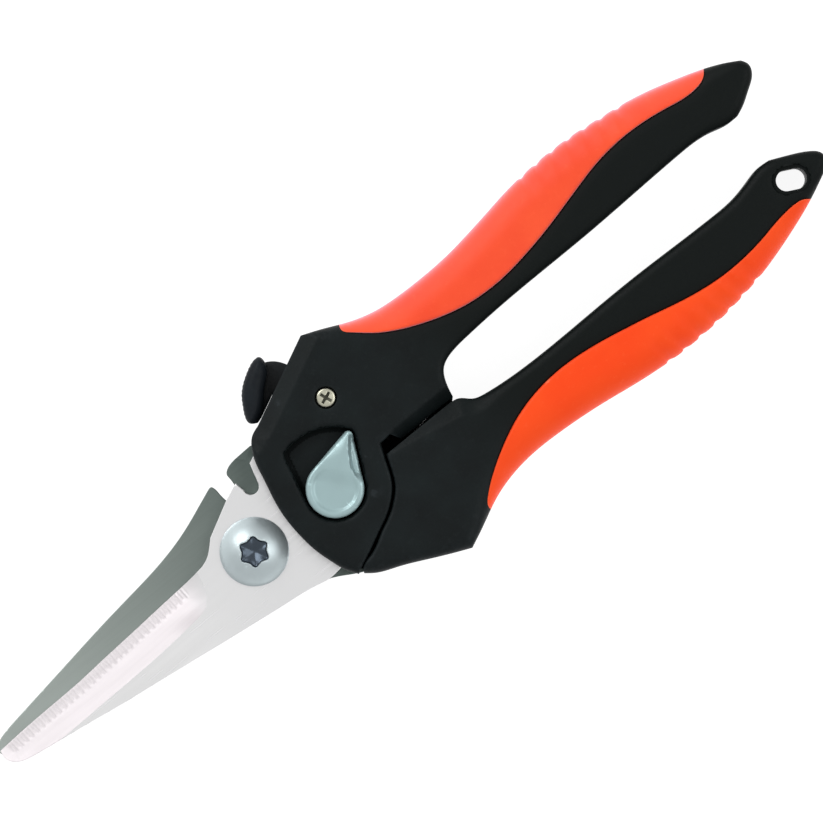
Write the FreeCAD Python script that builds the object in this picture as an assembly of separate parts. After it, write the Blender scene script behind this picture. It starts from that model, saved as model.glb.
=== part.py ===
import FreeCAD, Part
import math
import os

# Floral snips: two crossed stainless plates on a pivot bolt, each clamped between two
# moulded handle shells with a soft grip, a thumb catch, an opening selector lever and an
# opening spring.
#
# The outlines are written in the pivot's own plane coordinates (pivot axis at 0, 0, +X
# towards the handles, +Y towards the upper handle) and every solid is moved to the row
# frame at the end: origin at the middle of the outline, on the surface it lies on.

V = FreeCAD.Vector

# ---------------------------------------------------------------- driving dimensions (mm)
OVERALL_LENGTH = 204.9       # blade tip to handle end
FRAME_SHIFT_X = -36.897      # pivot coordinates to the row frame
FRAME_SHIFT_Y = -1.533

HANDLE_TOP = 17.6            # front face of the shells above the surface it lies on
GRIP_TOP = 18.0              # soft grips stand a little proud of the shells
PARTING_Z = 9.0              # shells meet here, and so do the two blade plates
PLATE_T = 2.4                # blade plate thickness
PLATE_GAP = 0.05             # each side of the parting plane
FRONT_PLATE_Z = PARTING_Z + PLATE_GAP
BACK_PLATE_Z = PARTING_Z - PLATE_GAP - PLATE_T

EDGE_R_SHELL = 0.8           # rounding of the shells' rims
EDGE_R_GRIP = 4.6            # rounding of the grips' rims
GRIP_WALL = 2.8              # soft wall over the hard spine

BOLT_HEAD_R = 7.0
BOLT_HEAD_H = 4.6
BOLT_SHOULDER_R = 4.0
BOLT_THREAD_R = 3.0
RUNNING = 0.05               # radial clearance of the turning fits
SOCKET_ACROSS = 6.1          # six-lobe socket, lobe tip to lobe tip
SOCKET_DEPTH = 2.9
NUT_AF = 10.0
NUT_H = 3.3

LEVER_X, LEVER_Y = 20.6, -0.4
LEVER_ROUND_R = 5.9
LEVER_TIP_L = 12.0
LEVER_TIP_R = 1.0
LEVER_REST_DEG = 37.3
LEVER_SWING_DEG = 66.0
LEVER_CLEAR = 0.45
LEVER_POCKET_Z = 14.4
LEVER_TOP = 18.2
LEVER_SHAFT_R = 2.4

OPENING_DEG = 25.0           # how far the lower handle swings open
CATCH_X, CATCH_Y = 30.7, 15.0
CATCH_SWING_DEG = 12.0
CAVITY_R = 27.2              # room for the back plate's shoulder inside the housing
LOBE_R = 21.3                # back plate's locking lobe

SPRING_X = 43.2
SPRING_Z = 9.0
SPRING_MEAN_R = 2.9
SPRING_WIRE_R = 0.5
SPRING_POCKET_R = 3.9
SPRING_Y0, SPRING_Y1 = -8.2, 7.2
SPRING_TURNS = 8

HANG_X, HANG_Y = 131.0, -9.8
HANG_LEN, HANG_W, HANG_DEG = 6.3, 4.3, -27.0

# ---------------------------------------------------------------- outlines (pivot coordinates)
# upper handle with the pivot housing: runs of smooth curve, corner to corner
HOUSING_NOSE = [(13.57, -16.75), (12.73, -15.5), (11.95, -14.22), (10.96, -11.6),
                (9.85, -7.85), (9.22, -3.19), (9.15, 1.53), (9.61, 5.31),
                (10.65, 9.92), (11.94, 14.97), (12.75, 16.6)]
HOUSING_SHOULDER = [(12.75, 16.6), (14.3, 18.3), (16.5, 19.2)]
HOUSING_TOP = [(16.5, 19.2), (28.5, 25.0), (34.6, 27.9)]
UPPER_OUTER = [(34.6, 27.9), (38.4, 26.4), (43.8, 24.0), (49.4, 22.35), (55.3, 21.75),
               (61.3, 21.65), (67.2, 21.9), (73.1, 22.6), (78.9, 23.5), (84.8, 24.45),
               (90.6, 25.0), (96.5, 25.15), (102.3, 24.9), (108.2, 24.2), (114.0, 23.4),
               (119.8, 22.2), (125.4, 20.6), (131.1, 18.7), (135.2, 16.9), (138.2, 15.2)]
UPPER_END = [(138.2, 15.2), (138.95, 13.6), (138.2, 11.6), (135.6, 9.6), (132.9, 7.9),
             (130.6, 6.9)]
UPPER_INNER = [(130.6, 6.9), (128.0, 6.95), (124.5, 7.8), (116.8, 8.3), (104.9, 7.9),
               (93.0, 7.5), (81.1, 7.4), (69.2, 7.2), (60.3, 6.7), (55.8, 6.1),
               (53.0, 4.8), (51.6, 2.6), (50.7, -0.9)]
UPPER_GAP = [(50.7, -0.9), (37.4, -1.0), (36.1, 1.2), (33.45, 0.9)]
HOUSING_SEAM = [(33.45, 0.9), (32.63, -1.04), (31.91, -2.95),
                (30.92, -5.46), (29.75, -7.42), (28.41, -8.82), (25.75, -10.82),
                (21.94, -12.71), (17.8, -14.75), (14.39, -16.3), (13.57, -16.75)]

LOWER_SEAM = [(14.5, -17.3), (14.75, -16.65), (18.1, -15.2), (22.2, -13.15),
              (26.05, -11.25), (28.8, -9.2), (30.2, -7.75), (31.35, -5.75),
              (32.35, -3.2), (33.0, -1.5)]
LOWER_GAP = [(33.0, -1.5), (49.6, -1.5)]
LOWER_INNER = [(49.6, -1.5), (51.4, -1.9), (53.4, -3.6), (56.4, -4.55), (61.9, -5.15),
               (70.8, -5.45), (79.7, -5.35), (88.6, -5.2), (97.4, -5.25), (106.3, -5.5),
               (114.0, -5.65), (119.5, -5.45), (124.0, -4.5), (127.4, -3.8),
               (129.9, -3.95)]
LOWER_END = [(129.9, -3.95), (133.6, -5.6), (137.4, -7.6), (139.2, -9.6), (138.9, -11.5),
             (137.2, -12.7)]
LOWER_OUTER = [(137.2, -12.7), (132.0, -15.2), (126.5, -17.35), (120.8, -19.2),
               (115.1, -20.75), (109.2, -21.85), (103.4, -22.6), (97.5, -22.95),
               (91.7, -23.0), (85.8, -22.6), (79.9, -21.9), (74.0, -21.05),
               (68.1, -20.4), (62.2, -20.0), (56.2, -19.95), (50.4, -20.65),
               (44.7, -22.3), (39.3, -24.85), (34.6, -27.0)]
LOWER_CORNER = [(34.6, -27.0), (31.4, -25.6), (26.1, -23.1), (20.7, -20.6),
                (16.2, -18.6), (14.5, -17.3)]

# where the soft grips end, and the hard spines inside them
UPPER_GRIP_EDGE = [(133.6, 21.5), (131.6, 19.0), (130.0, 17.2), (127.8, 16.5),
                   (125.4, 16.4), (120.7, 17.1), (116.0, 17.8), (111.2, 18.1),
                   (106.5, 17.9), (101.7, 17.2), (97.1, 16.1), (92.5, 14.9),
                   (87.8, 13.7), (83.2, 12.7), (78.5, 11.9), (73.7, 11.35),
                   (68.9, 11.3), (64.2, 11.8), (59.6, 12.9), (55.2, 14.4),
                   (50.8, 16.35), (46.7, 18.8), (43.1, 21.8), (41.7, 23.6),
                   (42.2, 25.2), (44.0, 28.0)]
LOWER_GRIP_EDGE = [(133.4, -17.4), (131.9, -15.6), (130.4, -14.5), (128.4, -14.1),
                   (126.0, -14.2), (123.6, -14.5), (119.0, -15.4), (114.3, -16.0),
                   (109.5, -16.2), (104.8, -15.9), (100.1, -15.2), (95.5, -14.2),
                   (90.9, -13.1), (86.2, -12.1), (81.6, -11.2), (76.9, -10.5),
                   (72.2, -10.15), (67.4, -10.3), (62.8, -11.0), (58.2, -12.3),
                   (53.8, -14.2), (49.6, -16.5), (45.6, -19.2), (43.6, -20.9),
                   (42.4, -22.4), (42.6, -24.4), (43.8, -27.0)]

# front blade plate (its cutting edge faces +Y), and its tang inside the upper handle
FRONT_EDGE = [(-65.35, -0.1), (-65.1, 1.0), (-58.0, 1.4), (-51.1, 1.6), (-44.1, 1.8),
              (-36.9, 2.3), (-29.7, 2.75), (-22.5, 3.25), (-16.1, 3.65), (-12.4, 3.95),
              (-10.1, 4.25)]
FRONT_HEEL = [(-10.1, 4.25), (-8.6, 4.8), (-7.1, 5.85), (-5.2, 7.7)]
FRONT_BACK = [(11.45, -13.5), (8.2, -13.75), (5.4, -13.2), (2.5, -12.7), (-3.4, -12.0),
              (-9.3, -11.25), (-15.2, -10.5), (-21.0, -9.7), (-26.9, -8.9),
              (-32.8, -8.1), (-38.6, -7.35), (-44.4, -6.45), (-50.2, -5.55),
              (-56.0, -4.7), (-60.8, -3.95)]
FRONT_TIP = [(-60.8, -3.95), (-62.6, -3.5), (-64.0, -2.7), (-65.1, -1.4),
             (-65.35, -0.1)]
FRONT_TANG = [(10.45, 14.43), (14.6, 16.2), (20.0, 18.7), (27.0, 21.4), (34.0, 22.2),
              (40.0, 20.9), (50.0, 18.9), (70.0, 18.2), (73.0, 16.6), (72.6, 12.8),
              (70.0, 11.9), (56.0, 12.2), (44.0, 10.6), (36.5, 8.6), (31.0, 3.4),
              (27.6, -2.6), (24.2, -6.6), (19.0, -10.4), (14.5, -12.9),
              (11.45, -13.5)]
NOTCH_C, NOTCH_R = (7.66, 10.57), 1.6
BEVEL_BACK = [(-7.5, 5.6), (-9.66, 1.55), (-12.4, -1.2), (-23.2, -2.3), (-33.8, -3.2),
              (-44.8, -4.5), (-52.0, -5.9)]

# back blade plate (its cutting edge faces -Y, hidden when closed) and its tang
BACK_SPINE = [(-65.3, 0.2), (-65.45, 1.1), (-64.9, 2.1), (-63.6, 2.85), (-61.1, 3.5),
              (-55.2, 4.45), (-49.3, 5.35), (-43.4, 6.25), (-37.6, 7.15), (-31.7, 8.0),
              (-25.8, 8.75), (-20.0, 9.5), (-14.1, 10.55), (-8.4, 12.1), (-2.8, 14.2),
              (0.9, 15.65)]
BACK_LOBE = [(0.9, 15.65), (1.6, 15.2), (1.97, 11.7), (2.3, 9.9), (3.6, 9.7),
             (5.3, 13.0), (5.41, 15.9), (8.6, 16.95), (12.69, 17.11)]
BACK_STEP_DEG, BACK_SHOULDER_R = 35.0, 26.3
BACK_TANG = [(26.2, 2.3), (31.3, -4.4), (37.0, -9.6), (48.0, -10.4), (58.0, -11.6),
             (70.0, -10.9), (73.0, -12.2), (73.4, -15.6), (70.0, -17.0),
             (58.0, -16.9), (45.0, -19.0), (34.0, -21.4), (24.0, -19.8),
             (13.4, -16.5), (8.2, -13.75), (3.0, -12.6), (-3.0, -10.6),
             (-7.2, -6.6), (-9.6, -2.2), (-12.5, 0.4)]
BACK_EDGE = [(-12.5, 0.4), (-22.5, 0.75), (-36.9, 0.7), (-51.0, 0.35), (-65.3, 0.2)]

CATCH_PAD = [(16.75, 19.75), (15.45, 20.73), (15.51, 22.1), (16.49, 24.11),
             (17.75, 26.08), (18.73, 27.1), (20.43, 28.36), (22.5, 29.51),
             (24.26, 30.06), (25.35, 29.9), (25.64, 28.63), (23.1, 25.55),
             (21.5, 23.5), (19.2, 21.3), (17.4, 20.0)]
CATCH_ARM = [(17.5, 14.1), (16.9, 15.8), (17.6, 17.0), (20.6, 17.6), (24.4, 19.4),
             (23.0, 22.6), (22.7, 24.9), (21.4, 27.3), (24.2, 28.6), (26.7, 27.7),
             (28.8, 25.1), (29.8, 21.5), (31.2, 18.97), (33.6, 17.9), (34.8, 15.0),
             (33.6, 12.2), (30.7, 10.9), (27.8, 12.2), (26.3, 14.6), (23.0, 15.2)]


# ---------------------------------------------------------------- helpers
def vec(p, z=0.0):
    return V(p[0], p[1], z)


def line_run(points, z=0.0):
    pts = [vec(p, z) for p in points]
    return [Part.LineSegment(a, b).toShape() for a, b in zip(pts, pts[1:])]


def curve_run(points, z=0.0):
    if len(points) == 2:
        return line_run(points, z)
    c = Part.BSplineCurve()
    c.interpolate([vec(p, z) for p in points])
    return [c.toShape()]


def wire(edges):
    w = Part.Wire(Part.__sortEdges__(edges))
    return w


def prism(edges, z0, z1):
    w = wire(edges)
    f = Part.Face(w)
    s = f.extrude(V(0, 0, z1 - z0))
    s.translate(V(0, 0, z0))
    return s


def poly(points, z0, z1):
    return prism(line_run(list(points) + [points[0]]), z0, z1)


def cyl(x, y, r, z0, z1):
    return Part.makeCylinder(r, z1 - z0, V(x, y, z0))


def polar(r, deg):
    return (r * math.cos(math.radians(deg)), r * math.sin(math.radians(deg)))


def arc_points(cx, cy, r, a0, a1, n):
    return [(cx + r * math.cos(math.radians(a0 + (a1 - a0) * i / n)),
             cy + r * math.sin(math.radians(a0 + (a1 - a0) * i / n))) for i in range(n + 1)]


def loop_edges(shape, z, tol=1e-3):
    out = []
    for e in shape.Edges:
        b = e.BoundBox
        if abs(b.ZMin - z) < tol and abs(b.ZMax - z) < tol:
            out.append(e)
    return out


def rounded(shape, z_list, r, longer_than=0.0, far_from_axis=False):
    edges = []
    for z in z_list:
        for e in loop_edges(shape, z):
            mid = e.valueAt(e.FirstParameter + (e.LastParameter - e.FirstParameter) * 0.5)
            if e.Length >= longer_than and (not far_from_axis or abs(mid.y) > 15.0):
                edges.append(e)
    return shape.makeFillet(r, edges)


def bevel_wedge(p0, p1, side, width, depth, top, over=3.0):
    # sloping cut along the edge p0-p1; side +1 keeps what is on the right of p0-p1
    d = V(p1[0] - p0[0], p1[1] - p0[1], 0)
    run = d.Length
    d.normalize()
    n = V(-d.y, d.x, 0) * side
    a = V(p0[0], p0[1], 0) - d * over
    k = depth / width
    sec = [(-width, top), (0.0, top - depth), (2.0, top - depth - 2.0 * k), (2.0, top + 1.0),
           (-width - 1.0 / k, top + 1.0)]
    pts = [a + n * q + V(0, 0, h) for q, h in sec]
    f = Part.Face(Part.makePolygon(pts + [pts[0]]))
    return f.extrude(d * (run + 2 * over))


def biggest(shape):
    return max(shape.Solids, key=lambda s: s.Volume)


def stadium(cx, cy, length, width, deg, z0, z1):
    r = width / 2.0
    h = length / 2.0 - r
    b = Part.makeBox(2 * h, width, z1 - z0, V(-h, -r, z0))
    s = b.fuse([Part.makeCylinder(r, z1 - z0, V(-h, 0, z0)),
                Part.makeCylinder(r, z1 - z0, V(h, 0, z0))]).removeSplitter()
    s.rotate(V(0, 0, 0), V(0, 0, 1), deg)
    s.translate(V(cx, cy, 0))
    return s


def cross_recess(x, y, r, z_top, depth, down=True):
    w = r * 0.42
    z0, z1 = (z_top - depth, z_top + 0.5) if down else (z_top - 0.5, z_top + depth)
    a = Part.makeBox(2 * r, w, z1 - z0, V(x - r, y - w / 2, z0))
    b = Part.makeBox(w, 2 * r, z1 - z0, V(x - w / 2, y - r, z0))
    return a.fuse(b)


# ---------------------------------------------------------------- handle blanks
def upper_blank(top):
    return prism(curve_run(HOUSING_NOSE) + curve_run(HOUSING_SHOULDER)
                 + line_run([HOUSING_TOP[0], HOUSING_TOP[-1]]) + curve_run(UPPER_OUTER)
                 + curve_run(UPPER_END) + curve_run(UPPER_INNER) + line_run(UPPER_GAP)
                 + curve_run(HOUSING_SEAM), 0.0, top)


def lower_blank(top):
    return prism(curve_run(LOWER_SEAM) + line_run(LOWER_GAP) + curve_run(LOWER_INNER)
                 + curve_run(LOWER_END) + curve_run(LOWER_OUTER)
                 + curve_run(LOWER_CORNER), 0.0, top)


def grip_region(edge, far_y):
    return prism(curve_run(edge) + line_run([edge[-1], (edge[-1][0], far_y),
                                             (edge[0][0], far_y), edge[0]]), -1.0, 20.0)


def spine(outer, edge, sign):
    # hard spine under the soft grip: the outer edge moved in by the grip's wall
    inner_side = [(x, y - sign * GRIP_WALL) for x, y in outer if 46.0 < x < 129.0]
    pts = inner_side + [(inner_side[-1][0], 0.0 + sign * 10.0),
                        (inner_side[0][0], 0.0 + sign * 10.0)]
    return prism(curve_run(inner_side) + line_run([inner_side[-1], pts[-2], pts[-1],
                                                   inner_side[0]]),
                 GRIP_WALL, HANDLE_TOP - GRIP_WALL)


parts = {}

# ---------------------------------------------------------------- front blade
z0, z1 = FRONT_PLATE_Z, FRONT_PLATE_Z + PLATE_T
notch_l = (6.46, 13.4)
front = prism(curve_run(FRONT_EDGE) + curve_run(FRONT_HEEL)
              + line_run([FRONT_HEEL[-1], (2.15, 11.6), notch_l])
              + line_run([notch_l, (10.45, 14.43)])
              + curve_run(FRONT_TANG) + curve_run(FRONT_BACK) + curve_run(FRONT_TIP),
              z0, z1)
notch = cyl(NOTCH_C[0], NOTCH_C[1], NOTCH_R, z0 - 1, z1 + 1).fuse(
    poly([(6.1, 10.95), (5.35, 14.6), (10.9, 16.0), (9.2, 10.1)], z0 - 1, z1 + 1))
front = front.cut(notch)
# hollow-ground bevel along the cutting edge
bevel_region = prism(line_run(BEVEL_BACK)
                     + line_run([BEVEL_BACK[-1], (-70.0, -10.0), (-70.0, 12.0),
                                 (-7.5, 12.0), BEVEL_BACK[0]]), z0 - 2, z1 + 3)
ground = Part.makeBox(90, 30, 20, V(-76, 0, 0))
tilt = math.degrees(math.atan2(PLATE_T - 0.35, 5.9))
ground.rotate(V(0, 0, 0), V(1, 0, 0), -tilt)
ground.rotate(V(0, 0, 0), V(0, 0, 1), 3.2)
ground.translate(V(0, -1.35, z1))
front = front.cut(ground.common(bevel_region))
front = front.cut(cyl(0, 0, BOLT_SHOULDER_R, z0 - 1, z1 + 1))

# ---------------------------------------------------------------- back blade
zb0, zb1 = BACK_PLATE_Z, BACK_PLATE_Z + PLATE_T
step_a = polar(LOBE_R, BACK_STEP_DEG)
step_b = polar(BACK_SHOULDER_R, 30.0)
lobe_start = polar(LOBE_R, 53.44)
back = prism(curve_run(BACK_SPINE) + line_run(BACK_LOBE[:-1] + [lobe_start])
             + curve_run(arc_points(0, 0, LOBE_R, 53.44, BACK_STEP_DEG, 6))
             + line_run([step_a, step_b])
             + curve_run(arc_points(0, 0, BACK_SHOULDER_R, 30.0, 5.02, 6))
             + line_run([polar(BACK_SHOULDER_R, 5.02)] + BACK_TANG[1:])
             + curve_run(BACK_EDGE), zb0, zb1)
# slot the selector cam stands in, and its sweep as the plate turns
slot = cyl(*polar(20.604, -1.61), 2.35, zb0 - 1, zb1 + 1).fuse(
    [cyl(*polar(20.604, -1.11 + OPENING_DEG + 0.5), 2.35, zb0 - 1, zb1 + 1)])
ring = cyl(0, 0, 20.604 + 2.35, zb0 - 1, zb1 + 1).cut(cyl(0, 0, 20.604 - 2.35, zb0 - 2, zb1 + 2))
wedge = poly([(0, 0), polar(40, -1.61), polar(44, 12.0), polar(40, -0.61 + OPENING_DEG)],
             zb0 - 1, zb1 + 1)
slot = slot.fuse(ring.common(wedge))
back = back.cut(slot)
back = back.cut(cyl(0, 0, BOLT_SHOULDER_R + RUNNING, zb0 - 1, zb1 + 1))
# ground bevel on the back face along the hidden edge
gb = Part.makeBox(90, 30, 20, V(-76, -30, -20))
gb.rotate(V(0, 0, 0), V(1, 0, 0), -tilt)
gb.translate(V(0, 5.6, zb0))
back = back.cut(gb.common(poly([(-70, -6), (-70, 2.2), (-62, 4.2), (-40, 5.6),
                                (-13.0, 5.6), (-10.5, 0.0), (-12.0, -6)],
                               zb0 - 3, zb1 + 1)))

# ---------------------------------------------------------------- pivot bolt, washer and nut
zs = z1
dome_r = (BOLT_HEAD_R ** 2 + (BOLT_HEAD_H - 0.9) ** 2) / (2 * (BOLT_HEAD_H - 0.9))
dome = Part.makeSphere(dome_r, V(0, 0, zs + BOLT_HEAD_H - dome_r))
head = cyl(0, 0, BOLT_HEAD_R, zs, zs + BOLT_HEAD_H).common(dome)
lobes = cyl(0, 0, SOCKET_ACROSS / 2 * 0.80, zs + BOLT_HEAD_H - SOCKET_DEPTH,
            zs + BOLT_HEAD_H + 1)
for k in range(6):
    a = 62.0 + 60 * k
    lobes = lobes.fuse(cyl(*polar(SOCKET_ACROSS / 2 - 0.72, a), 0.72,
                           zs + BOLT_HEAD_H - SOCKET_DEPTH, zs + BOLT_HEAD_H + 1))
for k in range(6):
    a = 92.0 + 60 * k
    lobes = lobes.cut(cyl(*polar(SOCKET_ACROSS / 2 * 0.80 + 0.62, a), 0.95,
                          zs - 1, zs + BOLT_HEAD_H + 2))
bolt = head.cut(lobes)
bolt = bolt.fuse([cyl(0, 0, BOLT_SHOULDER_R, BACK_PLATE_Z - 0.1, zs),
                  cyl(0, 0, BOLT_THREAD_R, 1.9, BACK_PLATE_Z - 0.1)]).removeSplitter()
parts["pivot_bolt"] = bolt
washer = cyl(0, 0, 6.3, BACK_PLATE_Z - 0.65, BACK_PLATE_Z - 0.05).cut(
    cyl(0, 0, BOLT_THREAD_R, 0, 10)).cut(
    cyl(0, 0, BOLT_SHOULDER_R, BACK_PLATE_Z - 0.1, 10))
parts["pivot_washer"] = washer
hexa = [polar(NUT_AF / 2 / math.cos(math.radians(30)), 30 + 60 * k) for k in range(6)]
nut = poly(hexa, BACK_PLATE_Z - 0.65 - NUT_H, BACK_PLATE_Z - 0.65)
nut = nut.common(Part.makeCone(NUT_AF / 2 - 0.1, NUT_AF / 2 + 1.3, 1.4,
                               V(0, 0, BACK_PLATE_Z - 0.65 - NUT_H)).fuse(
    cyl(0, 0, 8.0, BACK_PLATE_Z - 0.65 - NUT_H + 1.4, BACK_PLATE_Z - 0.6)))
parts["pivot_nut"] = nut.cut(cyl(0, 0, BOLT_THREAD_R, 0, 10))

# ---------------------------------------------------------------- opening selector lever
def teardrop(grow, z0, z1, deg):
    big = LEVER_ROUND_R + grow
    tip = LEVER_TIP_R + grow
    d = LEVER_TIP_L - LEVER_TIP_R
    half = math.degrees(math.asin((big - tip) / d))
    n = 90.0 - half
    p = [polar(big, n), (d + polar(tip, n)[0], polar(tip, n)[1])]
    q = [(d + polar(tip, -n)[0], polar(tip, -n)[1]), polar(big, -n)]
    a1 = Part.Arc(vec(p[1]), vec((d + tip, 0)), vec(q[0])).toShape()
    a2 = Part.Arc(vec(q[1]), vec((-big, 0)), vec(p[0])).toShape()
    s = prism(line_run(p) + [a1] + line_run(q) + [a2], z0, z1)
    s.rotate(V(0, 0, 0), V(0, 0, 1), deg)
    s.translate(V(LEVER_X, LEVER_Y, 0))
    return s


knob = teardrop(0.0, LEVER_POCKET_Z + 0.2, LEVER_TOP, LEVER_REST_DEG)
knob = rounded(knob, [LEVER_TOP], 0.7)
dish_r = 14.0
dish = Part.makeSphere(dish_r, V(LEVER_X, LEVER_Y, LEVER_TOP - 0.75 + dish_r))
knob = knob.cut(dish)
shaft = cyl(LEVER_X, LEVER_Y, LEVER_SHAFT_R, PARTING_Z, LEVER_POCKET_Z + 0.2)
lever = knob.fuse(shaft).removeSplitter()

cam = cyl(LEVER_X, LEVER_Y, 2.0, BACK_PLATE_Z, PARTING_Z)
flat = Part.makeBox(6, 1.6, 4, V(-3, 1.55, BACK_PLATE_Z - 0.5))
flat2 = Part.makeBox(6, 1.6, 4, V(-3, -3.15, BACK_PLATE_Z - 0.5))
for f in (flat, flat2):
    f.rotate(V(0, 0, 0), V(0, 0, 1), 89.0)
    f.translate(V(LEVER_X, LEVER_Y, 0))
cam = cam.cut([flat, flat2]).fuse(cyl(LEVER_X, LEVER_Y, LEVER_SHAFT_R, 3.0, BACK_PLATE_Z))
cam = cam.removeSplitter()
lever_screw = cyl(LEVER_X, LEVER_Y, 1.0, 2.4, 13.0).fuse(
    cyl(LEVER_X, LEVER_Y, 2.7, 0.8, 2.4)).removeSplitter()
lever_screw = lever_screw.cut(cross_recess(LEVER_X, LEVER_Y, 1.5, 0.8, 1.0, down=False))
lever_wave = cyl(LEVER_X, LEVER_Y, 2.75, 2.4, 2.9).cut(cyl(LEVER_X, LEVER_Y, 1.05, 2, 4))
parts["opening_lever"] = lever.cut(cyl(LEVER_X, LEVER_Y, 1.0, 0, 13.0))
parts["lever_cam"] = cam.cut(cyl(LEVER_X, LEVER_Y, 1.0, 0, 13.0))
parts["lever_screw"] = lever_screw
parts["lever_wave_washer"] = lever_wave
front = front.cut(cyl(LEVER_X, LEVER_Y, LEVER_SHAFT_R + 0.1, z0 - 1, z1 + 1))

lever_pocket = teardrop(LEVER_CLEAR, LEVER_POCKET_Z, 20, LEVER_REST_DEG)
lever_pocket = lever_pocket.fuse(teardrop(LEVER_CLEAR, LEVER_POCKET_Z, 20,
                                          LEVER_REST_DEG + LEVER_SWING_DEG))
sector = cyl(LEVER_X, LEVER_Y, LEVER_TIP_L + LEVER_CLEAR, LEVER_POCKET_Z, 20).common(
    poly([(LEVER_X, LEVER_Y)]
         + [(LEVER_X + polar(30, a)[0], LEVER_Y + polar(30, a)[1]) for a in
            (LEVER_REST_DEG, LEVER_REST_DEG + LEVER_SWING_DEG / 2,
             LEVER_REST_DEG + LEVER_SWING_DEG)], LEVER_POCKET_Z, 20))
lever_pocket = lever_pocket.fuse(sector)

# ---------------------------------------------------------------- housing screw and catch
screw = cyl(CATCH_X, CATCH_Y, 2.05, HANDLE_TOP - 1.7, HANDLE_TOP - 0.25)
screw = screw.fuse([cyl(CATCH_X, CATCH_Y, 1.5, 3.0, HANDLE_TOP - 1.7)]).removeSplitter()
screw = screw.cut(cross_recess(CATCH_X, CATCH_Y, 1.25, HANDLE_TOP - 0.25, 0.9))
parts["housing_screw"] = screw
sleeve = cyl(CATCH_X, CATCH_Y, 2.4, 6.45, PARTING_Z).cut(cyl(CATCH_X, CATCH_Y, 1.5, 0, 20))
parts["catch_sleeve"] = sleeve
arm_z0, arm_z1 = 6.75, 8.75
arm = poly(CATCH_ARM, arm_z0, arm_z1).cut(
    cyl(CATCH_X, CATCH_Y, 2.4 + RUNNING, 0, 20))
pad = poly(CATCH_PAD, 3.6, 13.4)
pad = pad.cut(poly(CATCH_ARM, arm_z0, arm_z1))
parts["catch_arm"] = arm
parts["catch_pad"] = pad
front = front.cut(cyl(CATCH_X, CATCH_Y, 1.5, z0 - 1, z1 + 1))

catch_room = poly([(16.2, 13.2), (15.6, 16.6), (17.2, 19.0), (20.5, 20.6), (21.7, 20.9),
                   (21.0, 33.0), (40.0, 33.0), (33.2, 25.4), (33.5, 20.6), (35.0, 19.4),
                   (35.5, 15.0), (34.4, 11.4), (30.7, 10.0), (27.2, 11.2), (24.5, 13.2)],
                  6.45, PARTING_Z)
leaf = poly([(35.15, 10.6), (35.0, 15.0), (35.15, 19.4), (35.6, 20.6), (36.0, 20.4),
             (35.55, 19.3), (35.4, 15.0), (35.55, 10.7), (36.0, 9.4), (35.6, 9.2)],
            6.65, 8.85)
parts["catch_detent_spring"] = leaf
leaf_room = poly([(35.05, 9.0), (36.3, 9.0), (36.3, 20.8), (35.05, 20.8)], 6.45, PARTING_Z)

# ---------------------------------------------------------------- opening spring
length = SPRING_Y1 - SPRING_Y0 - 2 * SPRING_WIRE_R
helix = Part.makeHelix(length / SPRING_TURNS, length, SPRING_MEAN_R)
prof = Part.Wire([Part.makeCircle(SPRING_WIRE_R, V(SPRING_MEAN_R, 0, 0), V(0, 1, 0))])
pipe = Part.Wire(helix).makePipeShell([prof], True, True)
spring = Part.Solid(pipe) if pipe.ShapeType != "Solid" else pipe
spring.rotate(V(0, 0, 0), V(1, 0, 0), -90)
spring.translate(V(SPRING_X, SPRING_Y0 + SPRING_WIRE_R, SPRING_Z))
parts["opening_spring"] = spring
spring_room = Part.makeCylinder(SPRING_POCKET_R, SPRING_Y1 - SPRING_Y0 + 0.1,
                                V(SPRING_X, SPRING_Y0 - 0.05, SPRING_Z), V(0, 1, 0))

# ---------------------------------------------------------------- tang pins and shell screws
def pin(x, y, r, za, zb):
    return cyl(x, y, r, za, zb)


upper_pins = [pin(52.0, 15.6, 1.9, 4.2, 14.2), pin(67.0, 15.2, 1.9, 4.2, 14.2)]
lower_pins = [pin(50.0, -14.8, 1.9, 4.2, 14.2), pin(66.0, -14.2, 1.9, 4.2, 14.2)]


def shell_screw(x, y):
    s = cyl(x, y, 2.3, 0.6, 2.3).fuse(cyl(x, y, 1.25, 2.3, 14.0)).removeSplitter()
    return s.cut(cross_recess(x, y, 1.35, 0.6, 1.0, down=False))


upper_screws = [shell_screw(59.0, 9.4), shell_screw(112.0, 12.6)]
lower_screws = [shell_screw(59.0, -8.2), shell_screw(112.0, -10.6)]
for p in upper_pins:
    front = front.cut(p)
for p in lower_pins:
    back = back.cut(p)
parts["upper_tang_pins"] = Part.makeCompound(upper_pins)
parts["lower_tang_pins"] = Part.makeCompound(lower_pins)
parts["upper_shell_screws"] = Part.makeCompound(upper_screws)
parts["lower_shell_screws"] = Part.makeCompound(lower_screws)
parts["front_blade"] = biggest(front)
parts["back_blade"] = biggest(back)

# ---------------------------------------------------------------- shells and grips
cavity = cyl(0, 0, CAVITY_R, 6.45, 9.3).fuse(
    poly([(0, 0), (20, 3.2), (27.1, 3.0), (33.6, -3.0), (42, -12), (42, -45), (-5, -45)],
         6.45, 9.3))
screw_well = cyl(CATCH_X, CATCH_Y, 2.26, HANDLE_TOP - 1.7, 20)


def cross_drilled(screws):
    # room under each head so that the screw can be driven from the back
    return [cyl(s.BoundBox.Center.x, s.BoundBox.Center.y, 2.35, -1.0, 2.3) for s in screws]


def build_half(blank, region, spine_solid, sink):
    hard = blank.cut(region)
    hard = hard.fuse(spine_solid.common(region)).removeSplitter()
    if sink:
        hard = hard.cut(sink)
    return hard


above = Part.makeBox(400, 200, 30, V(-150, -100, PARTING_Z))
below = Part.makeBox(400, 200, 30, V(-150, -100, PARTING_Z - 30))

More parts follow.
